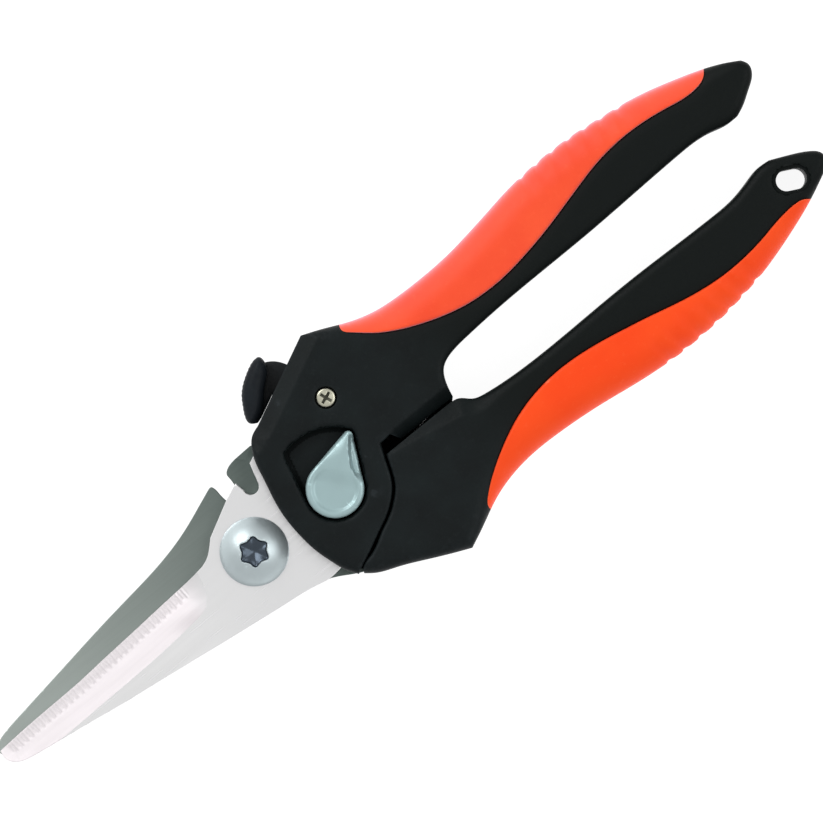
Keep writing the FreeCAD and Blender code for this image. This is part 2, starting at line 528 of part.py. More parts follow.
up_blank = rounded(upper_blank(HANDLE_TOP), [0.0, HANDLE_TOP], EDGE_R_SHELL)
housing_bevel = bevel_wedge(HOUSING_TOP[0], HOUSING_TOP[-1], 1.0, 2.6, 1.9, HANDLE_TOP, 1.2)
gap_bevel = bevel_wedge((37.4, -1.0), (50.2, -0.95), -1.0, 2.5, 3.2, HANDLE_TOP, 0.0)
up_blank = up_blank.cut([housing_bevel, gap_bevel])
up_grip_blank = upper_blank(GRIP_TOP)
region_up = grip_region(UPPER_GRIP_EDGE, 40.0)
spine_up = spine(UPPER_OUTER, UPPER_GRIP_EDGE, 1.0)
upper_hard = build_half(up_blank, region_up, spine_up, [])
upper_hard = upper_hard.cut([lever_pocket, cavity, catch_room, leaf_room, screw_well,
                             spring_room] + cross_drilled(upper_screws))
upper_hard = upper_hard.cut([parts["front_blade"]] + upper_pins + upper_screws)
upper_hard = upper_hard.cut([cyl(CATCH_X, CATCH_Y, 1.5, 3.0, 20),
                             cyl(LEVER_X, LEVER_Y, LEVER_SHAFT_R + RUNNING, 2.9, 20),
                             cyl(LEVER_X, LEVER_Y, 2.85, -1, 2.95)])
plate_room = prism(line_run([FRONT_HEEL[-1], (2.15, 11.6), notch_l, (10.45, 14.43)])
                   + curve_run(FRONT_TANG) + line_run([(11.45, -13.5), (0, -13.5),
                                                       FRONT_HEEL[-1]]),
                   PARTING_Z - 0.1, FRONT_PLATE_Z + PLATE_T)
upper_hard = upper_hard.cut(plate_room.cut(upper_pins))
for p in upper_pins:
    upper_hard = upper_hard.cut(p)
parts["upper_handle_front_shell"] = biggest(upper_hard.common(above))
parts["upper_handle_back_shell"] = biggest(upper_hard.common(below))

lo_blank = rounded(lower_blank(HANDLE_TOP), [0.0, HANDLE_TOP], EDGE_R_SHELL)
region_lo = grip_region(LOWER_GRIP_EDGE, -40.0)
spine_lo = spine(LOWER_OUTER, LOWER_GRIP_EDGE, -1.0)
lower_hard = build_half(lo_blank, region_lo, spine_lo, [])
hang = stadium(HANG_X, HANG_Y, HANG_LEN, HANG_W, HANG_DEG, -1, 20)
hang_rim_f = stadium(HANG_X, HANG_Y, HANG_LEN + 1.4, HANG_W + 1.4, HANG_DEG,
                     HANDLE_TOP - 0.9, 20)
hang_rim_b = stadium(HANG_X, HANG_Y, HANG_LEN + 1.4, HANG_W + 1.4, HANG_DEG, -1, 0.9)
lower_hard = lower_hard.cut([hang, hang_rim_f, hang_rim_b, spring_room]
                            + cross_drilled(lower_screws))
lower_hard = lower_hard.cut([parts["back_blade"]] + lower_pins + lower_screws)
tang_room = prism(line_run([(26.2, 2.3)] + BACK_TANG[1:14] + [(8.2, -13.75), (26.2, 2.3)]),
                  BACK_PLATE_Z, PARTING_Z + 0.1)
lower_hard = lower_hard.cut(tang_room.cut(lower_pins))
for p in lower_pins:
    lower_hard = lower_hard.cut(p)
parts["lower_handle_front_shell"] = biggest(lower_hard.common(above))
parts["lower_handle_back_shell"] = biggest(lower_hard.common(below))

grip_up = rounded(up_grip_blank, [0.0, GRIP_TOP], EDGE_R_GRIP, 60.0, True).common(region_up).cut(spine_up)
grip_up = grip_up.cut([parts["front_blade"]] + upper_pins)
lo_grip_blank = lower_blank(GRIP_TOP)
grip_lo = rounded(lo_grip_blank, [0.0, GRIP_TOP], EDGE_R_GRIP, 60.0, True).common(region_lo).cut(spine_lo)
grip_lo = grip_lo.cut([parts["back_blade"]] + lower_pins)
parts["upper_grip"] = biggest(grip_up)
parts["lower_grip"] = biggest(grip_lo)

# ---------------------------------------------------------------- write one file per node
os.makedirs("parts", exist_ok=True)
total = None
for name, shape in sorted(parts.items()):
    s = shape.copy()
    s.translate(V(FRAME_SHIFT_X, FRAME_SHIFT_Y, 0))
    s.exportStep("parts/%s.step" % name)
    b = s.BoundBox
    total = b if total is None else total.united(b)
    print("%-28s %s solids=%d vol=%.1f z %.2f..%.2f" % (
        name, s.isValid(), len(s.Solids), s.Volume, b.ZMin, b.ZMax))
print("box x %.3f..%.3f y %.3f..%.3f z %.3f..%.3f" % (
    total.XMin, total.XMax, total.YMin, total.YMax, total.ZMin, total.ZMax))
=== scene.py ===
import math

import bpy
import numpy as np
from mathutils import Matrix, Vector
from mathutils.geometry import delaunay_2d_cdt


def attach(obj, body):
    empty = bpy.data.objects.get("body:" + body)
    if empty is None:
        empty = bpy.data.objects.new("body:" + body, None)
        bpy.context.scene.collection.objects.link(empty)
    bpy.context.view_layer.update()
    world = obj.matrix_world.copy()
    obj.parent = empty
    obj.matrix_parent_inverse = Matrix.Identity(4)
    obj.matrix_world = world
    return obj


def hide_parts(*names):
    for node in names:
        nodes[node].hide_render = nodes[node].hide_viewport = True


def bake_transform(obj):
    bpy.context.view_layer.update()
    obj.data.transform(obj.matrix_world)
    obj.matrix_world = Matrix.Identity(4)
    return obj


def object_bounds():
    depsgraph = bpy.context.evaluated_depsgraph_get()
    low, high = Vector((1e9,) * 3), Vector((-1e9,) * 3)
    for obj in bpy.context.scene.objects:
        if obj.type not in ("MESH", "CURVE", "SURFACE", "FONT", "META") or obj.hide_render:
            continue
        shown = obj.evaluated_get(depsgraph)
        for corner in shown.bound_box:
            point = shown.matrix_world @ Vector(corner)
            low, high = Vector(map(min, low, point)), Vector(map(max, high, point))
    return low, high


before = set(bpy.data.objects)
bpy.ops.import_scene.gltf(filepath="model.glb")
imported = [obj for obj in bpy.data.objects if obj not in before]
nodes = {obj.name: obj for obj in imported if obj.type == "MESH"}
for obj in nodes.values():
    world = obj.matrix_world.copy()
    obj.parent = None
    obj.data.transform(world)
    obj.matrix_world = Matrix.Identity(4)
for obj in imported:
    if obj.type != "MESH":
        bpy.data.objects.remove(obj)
CAD_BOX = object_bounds()

MM = 0.001
LOW = np.array(CAD_BOX[0]) / MM + 0.001
HIGH = np.array(CAD_BOX[1]) / MM - 0.001
SHIFT = np.array([-36.897, -1.533])      # pivot coordinates to the row frame, mm

# ------------------------------------------------------------------ heights (mm)
HANDLE_TOP = 17.6
GRIP_TOP = 18.0
PART_Z = 9.0
PLATE_T = 2.4
FRONT_Z0, FRONT_Z1 = 9.05, 11.45
BACK_Z0, BACK_Z1 = 6.55, 8.95
LEVER = (20.6, -0.4)
LEVER_REST, LEVER_SWING = 37.3, 66.0
SCREW = (30.7, 15.0)

# ------------------------------------------------------------------ outlines, pivot coordinates (mm)
HOUSING_NOSE = [(13.57, -16.75), (12.73, -15.5), (11.95, -14.22), (10.96, -11.6),
                (9.85, -7.85), (9.22, -3.19), (9.15, 1.53), (9.61, 5.31),
                (10.65, 9.92), (11.94, 14.97), (12.75, 16.6)]
HOUSING_SHOULDER = [(12.75, 16.6), (14.3, 18.3), (16.5, 19.2)]
HOUSING_TOP = [(16.5, 19.2), (34.6, 27.9)]
UPPER_OUTER = [(34.6, 27.9), (38.4, 26.4), (43.8, 24.0), (49.4, 22.35), (55.3, 21.75),
               (61.3, 21.65), (67.2, 21.9), (73.1, 22.6), (78.9, 23.5), (84.8, 24.45),
               (90.6, 25.0), (96.5, 25.15), (102.3, 24.9), (108.2, 24.2), (114.0, 23.4),
               (119.8, 22.2), (125.4, 20.6), (131.1, 18.7), (135.2, 16.9), (138.2, 15.2)]
UPPER_END = [(138.2, 15.2), (138.95, 13.6), (138.2, 11.6), (135.6, 9.6), (132.9, 7.9),
             (130.6, 6.9)]
UPPER_INNER = [(130.6, 6.9), (128.0, 6.95), (124.5, 7.8), (116.8, 8.3), (104.9, 7.9),
               (93.0, 7.5), (81.1, 7.4), (69.2, 7.2), (60.3, 6.7), (55.8, 6.1),
               (53.0, 4.8), (51.6, 2.6), (50.7, -0.9)]
UPPER_GAP = [(50.7, -0.9), (37.4, -1.0)]
UPPER_VOID = [(37.4, -1.0), (36.1, 1.2), (33.45, 0.9)]
HOUSING_SEAM = [(33.45, 0.9), (32.63, -1.04), (31.91, -2.95),
                (30.92, -5.46), (29.75, -7.42), (28.41, -8.82), (25.75, -10.82),
                (21.94, -12.71), (17.8, -14.75), (14.39, -16.3), (13.57, -16.75)]

LOWER_SEAM = [(14.5, -17.3), (14.75, -16.65), (18.1, -15.2), (22.2, -13.15),
              (26.05, -11.25), (28.8, -9.2), (30.2, -7.75), (31.35, -5.75),
              (32.35, -3.2), (33.0, -1.5)]
LOWER_GAP = [(33.0, -1.5), (49.6, -1.5)]
LOWER_INNER = [(49.6, -1.5), (51.4, -1.9), (53.4, -3.6), (56.4, -4.55), (61.9, -5.15),
               (70.8, -5.45), (79.7, -5.35), (88.6, -5.2), (97.4, -5.25), (106.3, -5.5),
               (114.0, -5.65), (119.5, -5.45), (124.0, -4.5), (127.4, -3.8),
               (129.9, -3.95)]
LOWER_END = [(129.9, -3.95), (133.6, -5.6), (137.4, -7.6), (139.2, -9.6), (138.9, -11.5),
             (137.2, -12.7)]
LOWER_OUTER = [(137.2, -12.7), (132.0, -15.2), (126.5, -17.35), (120.8, -19.2),
               (115.1, -20.75), (109.2, -21.85), (103.4, -22.6), (97.5, -22.95),
               (91.7, -23.0), (85.8, -22.6), (79.9, -21.9), (74.0, -21.05),
               (68.1, -20.4), (62.2, -20.0), (56.2, -19.95), (50.4, -20.65),
               (44.7, -22.3), (39.3, -24.85), (34.6, -27.0)]
LOWER_CORNER = [(34.6, -27.0), (31.4, -25.6), (26.1, -23.1), (20.7, -20.6),
                (16.2, -18.6), (14.5, -17.3)]

UPPER_GRIP_EDGE = [(133.6, 21.5), (131.6, 19.0), (130.0, 17.2), (127.8, 16.5),
                   (125.4, 16.4), (120.7, 17.1), (116.0, 17.8), (111.2, 18.1),
                   (106.5, 17.9), (101.7, 17.2), (97.1, 16.1), (92.5, 14.9),
                   (87.8, 13.7), (83.2, 12.7), (78.5, 11.9), (73.7, 11.35),
                   (68.9, 11.3), (64.2, 11.8), (59.6, 12.9), (55.2, 14.4),
                   (50.8, 16.35), (46.7, 18.8), (43.1, 21.8), (41.7, 23.6),
                   (42.2, 25.2), (44.0, 28.0)]
LOWER_GRIP_EDGE = [(133.4, -17.4), (131.9, -15.6), (130.4, -14.5), (128.4, -14.1),
                   (126.0, -14.2), (123.6, -14.5), (119.0, -15.4), (114.3, -16.0),
                   (109.5, -16.2), (104.8, -15.9), (100.1, -15.2), (95.5, -14.2),
                   (90.9, -13.1), (86.2, -12.1), (81.6, -11.2), (76.9, -10.5),
                   (72.2, -10.15), (67.4, -10.3), (62.8, -11.0), (58.2, -12.3),
                   (53.8, -14.2), (49.6, -16.5), (45.6, -19.2), (43.6, -20.9),
                   (42.4, -22.4), (42.6, -24.4), (43.8, -27.0)]

FRONT_EDGE = [(-65.35, -0.1), (-65.1, 1.0), (-58.0, 1.4), (-51.1, 1.6), (-44.1, 1.8),
              (-36.9, 2.3), (-29.7, 2.75), (-22.5, 3.25), (-16.1, 3.65), (-12.4, 3.95),
              (-10.1, 4.25)]
FRONT_HEEL = [(-10.1, 4.25), (-8.6, 4.8), (-7.1, 5.85), (-5.2, 7.7)]
FRONT_BACK = [(11.45, -13.5), (8.2, -13.75), (5.4, -13.2), (2.5, -12.7), (-3.4, -12.0),
              (-9.3, -11.25), (-15.2, -10.5), (-21.0, -9.7), (-26.9, -8.9),
              (-32.8, -8.1), (-38.6, -7.35), (-44.4, -6.45), (-50.2, -5.55),
              (-56.0, -4.7), (-60.8, -3.95)]
FRONT_TIP = [(-60.8, -3.95), (-62.6, -3.5), (-64.0, -2.7), (-65.1, -1.4),
             (-65.35, -0.1)]
FRONT_TANG = [(10.45, 14.43), (14.6, 16.2), (20.0, 18.7), (27.0, 21.4), (34.0, 22.2),
              (40.0, 20.9), (50.0, 18.9), (70.0, 18.2), (73.0, 16.6), (72.6, 12.8),
              (70.0, 11.9), (56.0, 12.2), (44.0, 10.6), (36.5, 8.6), (31.0, 3.4),
              (27.6, -2.6), (24.2, -6.6), (19.0, -10.4), (14.5, -12.9),
              (11.45, -13.5)]
BEVEL_BACK = [(-7.5, 5.6), (-8.5, 3.3), (-9.66, 1.55), (-11.0, 0.0), (-12.4, -1.2),
              (-23.2, -2.3), (-33.8, -3.2), (-44.8, -4.5), (-52.0, -5.9)]

BACK_SPINE = [(-65.3, 0.2), (-65.45, 1.1), (-64.9, 2.1), (-63.6, 2.85), (-61.1, 3.5),
              (-55.2, 4.45), (-49.3, 5.35), (-43.4, 6.25), (-37.6, 7.15), (-31.7, 8.0),
              (-25.8, 8.75), (-20.0, 9.5), (-14.1, 10.55), (-8.4, 12.1), (-2.8, 14.2),
              (0.9, 15.65)]
BACK_LOBE = [(0.9, 15.65), (1.6, 15.2), (1.97, 11.7), (2.3, 9.9), (3.6, 9.7),
             (5.3, 13.0), (5.41, 15.9), (8.6, 16.95)]
BACK_TANG = [(26.2, 2.3), (31.3, -4.4), (37.0, -9.6), (48.0, -10.4), (58.0, -11.6),
             (70.0, -10.9), (73.0, -12.2), (73.4, -15.6), (70.0, -17.0),
             (58.0, -16.9), (45.0, -19.0), (34.0, -21.4), (24.0, -19.8),
             (13.4, -16.5), (8.2, -13.75), (3.0, -12.6), (-3.0, -10.6),
             (-7.2, -6.6), (-9.6, -2.2), (-12.5, 0.4)]
BACK_EDGE = [(-12.5, 0.4), (-22.5, 0.75), (-36.9, 0.7), (-51.0, 0.35), (-65.3, 0.2)]

CATCH_PAD = [(16.75, 19.75), (15.45, 20.73), (15.51, 22.1), (16.49, 24.11),
             (17.75, 26.08), (18.73, 27.1), (20.43, 28.36), (22.5, 29.51),
             (24.26, 30.06), (25.35, 29.9), (25.64, 28.63), (23.1, 25.55),
             (21.5, 23.5), (19.2, 21.3), (17.4, 20.0)]
CATCH_ARM = [(17.5, 14.1), (16.9, 15.8), (17.6, 17.0), (20.6, 17.6), (24.4, 19.4),
             (23.0, 22.6), (22.7, 24.9), (21.4, 27.3), (24.2, 28.6), (26.7, 27.7),
             (28.8, 25.1), (29.8, 21.5), (31.2, 18.97), (33.6, 17.9), (34.8, 15.0),
             (33.6, 12.2), (30.7, 10.9), (27.8, 12.2), (26.3, 14.6), (23.0, 15.2)]

HANG = (131.0, -9.8, 6.3, 4.3, -27.0)


# ------------------------------------------------------------------ planar geometry
def line(points, step):
    p = np.array(points, float)
    out = []
    for a, b in zip(p, p[1:]):
        k = max(1, int(math.ceil(np.linalg.norm(b - a) / step)))
        out.append(a + (b - a) * (np.arange(k) / k)[:, None])
    return np.vstack(out + [p[-1:]])


def spline(points, step):
    """Natural cubic through the points, sampled about every step."""
    p = np.array(points, float)
    if len(p) == 2:
        return line(points, step)
    h = np.linalg.norm(np.diff(p, axis=0), axis=1)
    n = len(p)
    a = np.zeros((n, n))
    r = np.zeros((n, 2))
    a[0, 0] = a[-1, -1] = 1
    for i in range(1, n - 1):
        a[i, i - 1], a[i, i], a[i, i + 1] = h[i - 1], 2 * (h[i - 1] + h[i]), h[i]
        r[i] = 6 * ((p[i + 1] - p[i]) / h[i] - (p[i] - p[i - 1]) / h[i - 1])
    m = np.linalg.solve(a, r)
    out = []
    for i in range(n - 1):
        k = max(1, int(math.ceil(h[i] / step)))
        s = (np.arange(k) / k)[:, None]
        t = s * h[i]
        out.append(m[i] * (h[i] - t) ** 3 / (6 * h[i]) + m[i + 1] * t ** 3 / (6 * h[i])
                   + (p[i] / h[i] - m[i] * h[i] / 6) * (h[i] - t)
                   + (p[i + 1] / h[i] - m[i + 1] * h[i] / 6) * t)
    return np.vstack(out + [p[-1:]])


def even(curve, step):
    """The same line with evenly spaced points."""
    d = np.concatenate([[0], np.cumsum(np.linalg.norm(np.diff(curve, axis=0), axis=1))])
    n = max(2, int(round(d[-1] / step)) + 1)
    s = np.linspace(0, d[-1], n)
    return np.column_stack([np.interp(s, d, curve[:, 0]), np.interp(s, d, curve[:, 1])])


def ring(*runs):
    """Runs joined end to end into one closed loop, anticlockwise, without repeated points."""
    pts = []
    for r in runs:
        for q in r:
            if not pts or math.hypot(q[0] - pts[-1][0], q[1] - pts[-1][1]) > 1e-4:
                pts.append((float(q[0]), float(q[1])))
    if math.hypot(pts[0][0] - pts[-1][0], pts[0][1] - pts[-1][1]) < 1e-4:
        pts.pop()
    p = np.array(pts)
    q = np.roll(p, -1, axis=0)
    if np.sum(p[:, 0] * q[:, 1] - q[:, 0] * p[:, 1]) < 0:
        p = p[::-1]
    return p


def shut(loop):
    return np.vstack([loop, loop[:1]])


def circle(x, y, r, n=64, phase=0.0):
    t = phase + np.arange(n) * 2 * math.pi / n
    return np.column_stack([x + r * np.cos(t), y + r * np.sin(t)])


def stadium(x, y, length, width, deg, step=0.35):
    r = width / 2
    h = length / 2 - r
    n = max(8, int(math.pi * r / step))
    t = np.linspace(-math.pi / 2, math.pi / 2, n + 1)
    a = np.column_stack([h + r * np.cos(t), r * np.sin(t)])
    p = np.vstack([a, -a])
    c, s = math.cos(math.radians(deg)), math.sin(math.radians(deg))
    return ring(np.column_stack([x + p[:, 0] * c - p[:, 1] * s,
                                 y + p[:, 0] * s + p[:, 1] * c]))


def inside(pts, loop):
    x, y = pts[:, 0], pts[:, 1]
    a = loop
    b = np.roll(loop, -1, axis=0)
    out = np.zeros(len(pts), bool)
    for s in range(0, len(pts), 4000):
        xs, ys = x[s:s + 4000, None], y[s:s + 4000, None]
        up = (a[None, :, 1] > ys) != (b[None, :, 1] > ys)
        with np.errstate(divide="ignore", invalid="ignore"):
            xc = a[None, :, 0] + (ys - a[None, :, 1]) * (b - a)[None, :, 0] / (b - a)[None, :, 1]
        out[s:s + 4000] = (np.sum(up & (xs < xc), axis=1) % 2).astype(bool)
    return out


def dist(pts, curve):
    """Distance from each point to an open polyline."""
    a, b = curve[:-1], curve[1:]
    d = b - a
    l2 = np.maximum((d ** 2).sum(1), 1e-12)
    out = np.empty(len(pts))
    for s in range(0, len(pts), 3000):
        p = pts[s:s + 3000]
        w = p[:, None, :] - a[None]
        t = np.clip((w * d[None]).sum(2) / l2[None], 0, 1)
        e = w - t[:, :, None] * d[None]
        out[s:s + 3000] = np.sqrt((e ** 2).sum(2).min(1))
    return out


def along(pts, curve):
    """Arc length on the curve of the point nearest to each point, and the distance to it."""
    a, b = curve[:-1], curve[1:]
    d = b - a
    ln = np.sqrt(np.maximum((d ** 2).sum(1), 1e-12))
    base = np.concatenate([[0], np.cumsum(ln)[:-1]])
    s_out = np.empty(len(pts))
    q_out = np.empty(len(pts))
    for s in range(0, len(pts), 3000):
        p = pts[s:s + 3000]
        w = p[:, None, :] - a[None]
        t = np.clip((w * d[None]).sum(2) / (ln ** 2)[None], 0, 1)
        e = ((w - t[:, :, None] * d[None]) ** 2).sum(2)
        k = e.argmin(1)
        r = np.arange(len(p))
        s_out[s:s + 3000] = base[k] + t[r, k] * ln[k]
        q_out[s:s + 3000] = np.sqrt(e[r, k])
    return s_out, q_out


def crossing(a, b):
    """First crossing of two polylines: (index on a, index on b, point)."""
    for i in range(len(a) - 1):
        p, r = a[i], a[i + 1] - a[i]
        for j in range(len(b) - 1):
            q, s = b[j], b[j + 1] - b[j]
            den = r[0] * s[1] - r[1] * s[0]
            if abs(den) < 1e-12:
                continue
            w = q - p
            t = (w[0] * s[1] - w[1] * s[0]) / den
            u = (w[0] * r[1] - w[1] * r[0]) / den
            if 0 <= t < 1 and 0 <= u < 1:
                return i, j, p + t * r
    raise ValueError("no crossing")


def rails(curve, r, angles=(12, 26, 42, 60, 78, 92), extra=()):
    """Points on both sides of a curve, at the offsets that carry a rounding of radius r."""
    t = np.gradient(curve, axis=0)
    t /= np.maximum(np.linalg.norm(t, axis=1), 1e-9)[:, None]
    n = np.column_stack([-t[:, 1], t[:, 0]])
    r = np.broadcast_to(np.asarray(r, float), (len(curve),))
    out = []
    for a in angles:
        q = r * (1 - math.cos(math.radians(a)))
        out += [curve + n * q[:, None], curve - n * q[:, None]]
    for e in extra:
        out += [curve + n * e, curve - n * e]
    return np.vstack(out)


def grid(loop, step):
    lo, hi = loop.min(0), loop.max(0)
    ys = np.arange(lo[1], hi[1], step * 0.866)
    rows = []
    for k, y in enumerate(ys):
        xs = np.arange(lo[0] + (k % 2) * step / 2, hi[0], step)
        rows.append(np.column_stack([xs, np.full(len(xs), y)]))
    return np.vstack(rows)


def pick(groups, loops, lines, clear=0.06):
    """Free points kept inside the region and apart from its lines and from each other.
    groups: (points, least distance between them), earlier groups first."""
    kept = []
    cells = {}
    size = 0.5
    for pts, gap in groups:
        pts = pts[inside(pts, loops[0])]
        for h in loops[1:]:
            pts = pts[~inside(pts, h)]
        for c in lines:
            pts = pts[dist(pts, c) > max(clear, 0.35 * gap)]
        reach = int(math.ceil(gap / size))
        for x, y in pts:
            i, j = int(math.floor(x / size)), int(math.floor(y / size))
            ok = True
            for di in range(-reach, reach + 1):
                for dj in range(-reach, reach + 1):
                    for (px, py) in cells.get((i + di, j + dj), ()):
                        if (px - x) ** 2 + (py - y) ** 2 < gap * gap:
                            ok = False
                            break
                    if not ok:
                        break
                if not ok:
                    break
            if ok:
                cells.setdefault((i, j), []).append((x, y))
                kept.append((x, y))
    return np.array(kept)


def slab(name, loops, free, top, bottom, steps=(), creases=(), sharp=32.0,
         top_id=None, bottom_id=None):
    """A closed solid over a planar region, between two surfaces given as heights.

    loops: the outline, then the holes that go right through. steps: closed lines where a
    surface may jump, with a wall. creases: open lines that the faces follow.
    top and bottom: function of the points, giving {surface id: heights}."""
    pts, edges = [], []
    for lp in list(loops) + list(steps):
        b, n = len(pts), len(lp)
        pts += [tuple(p) for p in lp]
        edges += [(b + i, b + (i + 1) % n) for i in range(n)]
    for lp in creases:
        b, n = len(pts), len(lp)
        pts += [tuple(p) for p in lp]
        edges += [(b + i, b + i + 1) for i in range(n - 1)]
    if len(free):
        pts += [tuple(p) for p in free]
    res = delaunay_2d_cdt([Vector(p) for p in pts], edges, [], 0, 1e-5)
    v = np.array([(p[0], p[1]) for p in res[0]])
    f = np.array([t for t in res[2] if len(t) == 3])
    e1, e2 = v[f[:, 1]] - v[f[:, 0]], v[f[:, 2]] - v[f[:, 0]]
    area = e1[:, 0] * e2[:, 1] - e1[:, 1] * e2[:, 0]
    f[area < 0] = f[area < 0][:, ::-1]
    f = f[np.abs(area) > 1e-9]
    c = v[f].mean(1)
    keep = inside(c, loops[0])
    for h in loops[1:]:
        keep &= ~inside(c, h)
    f, c = f[keep], c[keep]
    tid = top_id(c) if top_id else np.zeros(len(f), int)
    bid = bottom_id(c) if bottom_id else np.zeros(len(f), int)
    ht, hb = top(v), bottom(v)
    zt = np.empty((len(f), 3))
    zb = np.empty((len(f), 3))
    for k in np.unique(tid):
        zt[tid == k] = ht[int(k)][f[tid == k]]
    for k in np.unique(bid):
        zb[bid == k] = hb[int(k)][f[bid == k]]
    zt = np.maximum(zt, zb)
    kt = np.round(zt * 1e4).astype(np.int64)
    kb = np.round(zb * 1e4).astype(np.int64)
    index, verts, columns = {}, [], {}

    def vert(i, k):
        key = (i, k)
        if key not in index:
            index[key] = len(verts)
            verts.append((v[i, 0], v[i, 1], k * 1e-4))
            columns.setdefault(i, set()).add(k)
        return index[key]

    fl, tl, bl = f.tolist(), kt.tolist(), kb.tolist()
    faces = []
    sides = {}
    for n, (tri, a, b) in enumerate(zip(fl, tl, bl)):
        top_f = [vert(tri[i], a[i]) for i in range(3)]
        faces.append(top_f)
        bot_f = [vert(tri[i], b[i]) for i in (2, 1, 0)]
        faces.append(bot_f)
        for i in range(3):
            j = (i + 1) % 3
            p, q = tri[i], tri[j]
            sides.setdefault((min(p, q), max(p, q)), []).append((n, i, j))

    def wall(p, q, pa, qa, pb, qb):
        # p and q seen from the solid that stands at heights pa, qa, down to pb, qb
        def col(i, k0, k1):
            mid = [k for k in columns[i] if min(k0, k1) < k < max(k0, k1)]
            return [k0] + sorted(mid, reverse=k0 > k1) + [k1]
        poly = [index[(q, qa)]] + [index[(p, k)] for k in col(p, pa, pb)]
        poly += [index[(q, k)] for k in col(q, qb, qa)][:-1]
        clean = []
        for i in poly:
            if not clean or clean[-1] != i:
                clean.append(i)
        if len(clean) > 1 and clean[0] == clean[-1]:
            clean.pop()
        if len(clean) >= 3:
            faces.append(clean)

    for uses in sides.values():
        if len(uses) == 1:
            n, i, j = uses[0]
            p, q = fl[n][i], fl[n][j]
            wall(p, q, tl[n][i], tl[n][j], bl[n][i], bl[n][j])
        elif len(uses) == 2:
            (n, i, j), (m, s, t) = uses
            p, q = fl[n][i], fl[n][j]
            ta, tb = (tl[n][i], tl[n][j]), (tl[m][t], tl[m][s])
            if ta != tb:
                wall(p, q, ta[0], ta[1], tb[0], tb[1])
            ba, bb = (bl[n][i], bl[n][j]), (bl[m][t], bl[m][s])
            if ba != bb:
                wall(p, q, bb[0], bb[1], ba[0], ba[1])
    xyz = np.array(verts)
    xyz[:, :2] += SHIFT
    xyz = np.clip(xyz, LOW, HIGH)
    faces = [t for t in faces if len(set(t)) == len(t)]
    me = bpy.data.meshes.new(name)
    me.from_pydata((xyz * MM).tolist(), [], faces)
    me.update()
    me.validate()
    return finish_mesh(name, me, sharp)


def mark(ob, where, facing):
    """Second material slot on the faces that look up (+1) or down (-1) inside a region."""
    me = ob.data
    n = len(me.polygons)
    c, v = np.empty(n * 3), np.empty(n * 3)
    me.polygons.foreach_get("center", c)
    me.polygons.foreach_get("normal", v)
    c, v = c.reshape(-1, 3), v.reshape(-1, 3)
    on = where(c[:, :2] / MM - SHIFT) & (v[:, 2] * facing > 0.03)
    me.polygons.foreach_set("material_index", on.astype(np.int32))


def finish_mesh(name, me, sharp=32.0):
    ob = bpy.data.objects.new(name, me)
    bpy.context.scene.collection.objects.link(ob)
    me.polygons.foreach_set("use_smooth", [True] * len(me.polygons))
    me.set_sharp_from_angle(angle=math.radians(sharp))
    return ob


def fall(q, rq, rz):
    """How far an elliptical rounding drops a surface at distance q from its edge."""
    t = np.clip(1 - q / rq, 0, 1)
    return rz * (1 - np.sqrt(np.maximum(1 - t * t, 0)))


def slope(q, w, d, soft=0.25):
    """A flat bevel, w wide and d deep, with its inner line slightly softened."""
    t = d * (1 - q / w)
    return 0.5 * (t + np.sqrt(t * t + (soft * d / w) ** 2))


def blend_drops(drops, p=3.0):
    return np.sum([np.maximum(d, 0) ** p for d in drops], axis=0) ** (1 / p)


def ramp(x, *pairs):
    xs, ys = zip(*pairs)
    return np.interp(x, xs, ys)


def smooth(x, a, b):
    t = np.clip((x - a) / (b - a), 0, 1)
    return t * t * (3 - 2 * t)


# ------------------------------------------------------------------ handle outlines
S = 0.55
nose = spline(HOUSING_NOSE, S)
shoulder = spline(HOUSING_SHOULDER, S)
top_edge = line(HOUSING_TOP, S)
u_outer = even(spline(UPPER_OUTER, 0.4), 0.4)
u_end = spline(UPPER_END, S)
u_inner = spline(UPPER_INNER, S)
u_gap = line(UPPER_GAP, S)
u_void = line(UPPER_VOID, S)
u_seam = spline(HOUSING_SEAM, S)
u_bound = even(spline(UPPER_GRIP_EDGE, 0.45), 0.45)

l_seam = spline(LOWER_SEAM, S)
l_gap = line(LOWER_GAP, S)
l_inner = spline(LOWER_INNER, S)
l_end = spline(LOWER_END, S)
l_outer = even(spline(LOWER_OUTER, 0.4), 0.4)
l_corner = spline(LOWER_CORNER, S)
l_bound = even(spline(LOWER_GRIP_EDGE, 0.45), 0.45)


def cut_runs(outer, bound):
    """The outer edge and the grip's boundary, cut where they cross: the grip's own part of
    each, and what is left of the outer edge before and after it."""
    i0, j0, p0 = crossing(outer, bound)
    rev_o, rev_b = outer[::-1], bound[::-1]
    i1, j1, p1 = crossing(rev_o, rev_b)
    i1, j1 = len(outer) - 2 - i1, len(bound) - 2 - j1
    jl, jh = (j0, j1) if j0 < j1 else (j1, j0)
    pl, ph = (p0, p1) if j0 < j1 else (p1, p0)
    gb = np.vstack([pl[None], bound[jl + 1:jh + 1], ph[None]])
    go = np.vstack([p0[None], outer[i0 + 1:i1 + 1], p1[None]])
    before = np.vstack([outer[:i0 + 1], p0[None]])
    after = np.vstack([p1[None], outer[i1 + 1:]])
    return go, gb, before, after


u_go, u_gb, u_before, u_after = cut_runs(u_outer, u_bound)
l_go, l_gb, l_before, l_after = cut_runs(l_outer, l_bound)
# both grips' boundaries run from the handle's end towards the pivot
if u_gb[0, 0] < u_gb[-1, 0]:
    u_gb = u_gb[::-1]
if l_gb[0, 0] < l_gb[-1, 0]:
    l_gb = l_gb[::-1]

RIBS = np.array([89.0, 92.9, 97.0, 101.1, 105.0, 108.8, 112.7])


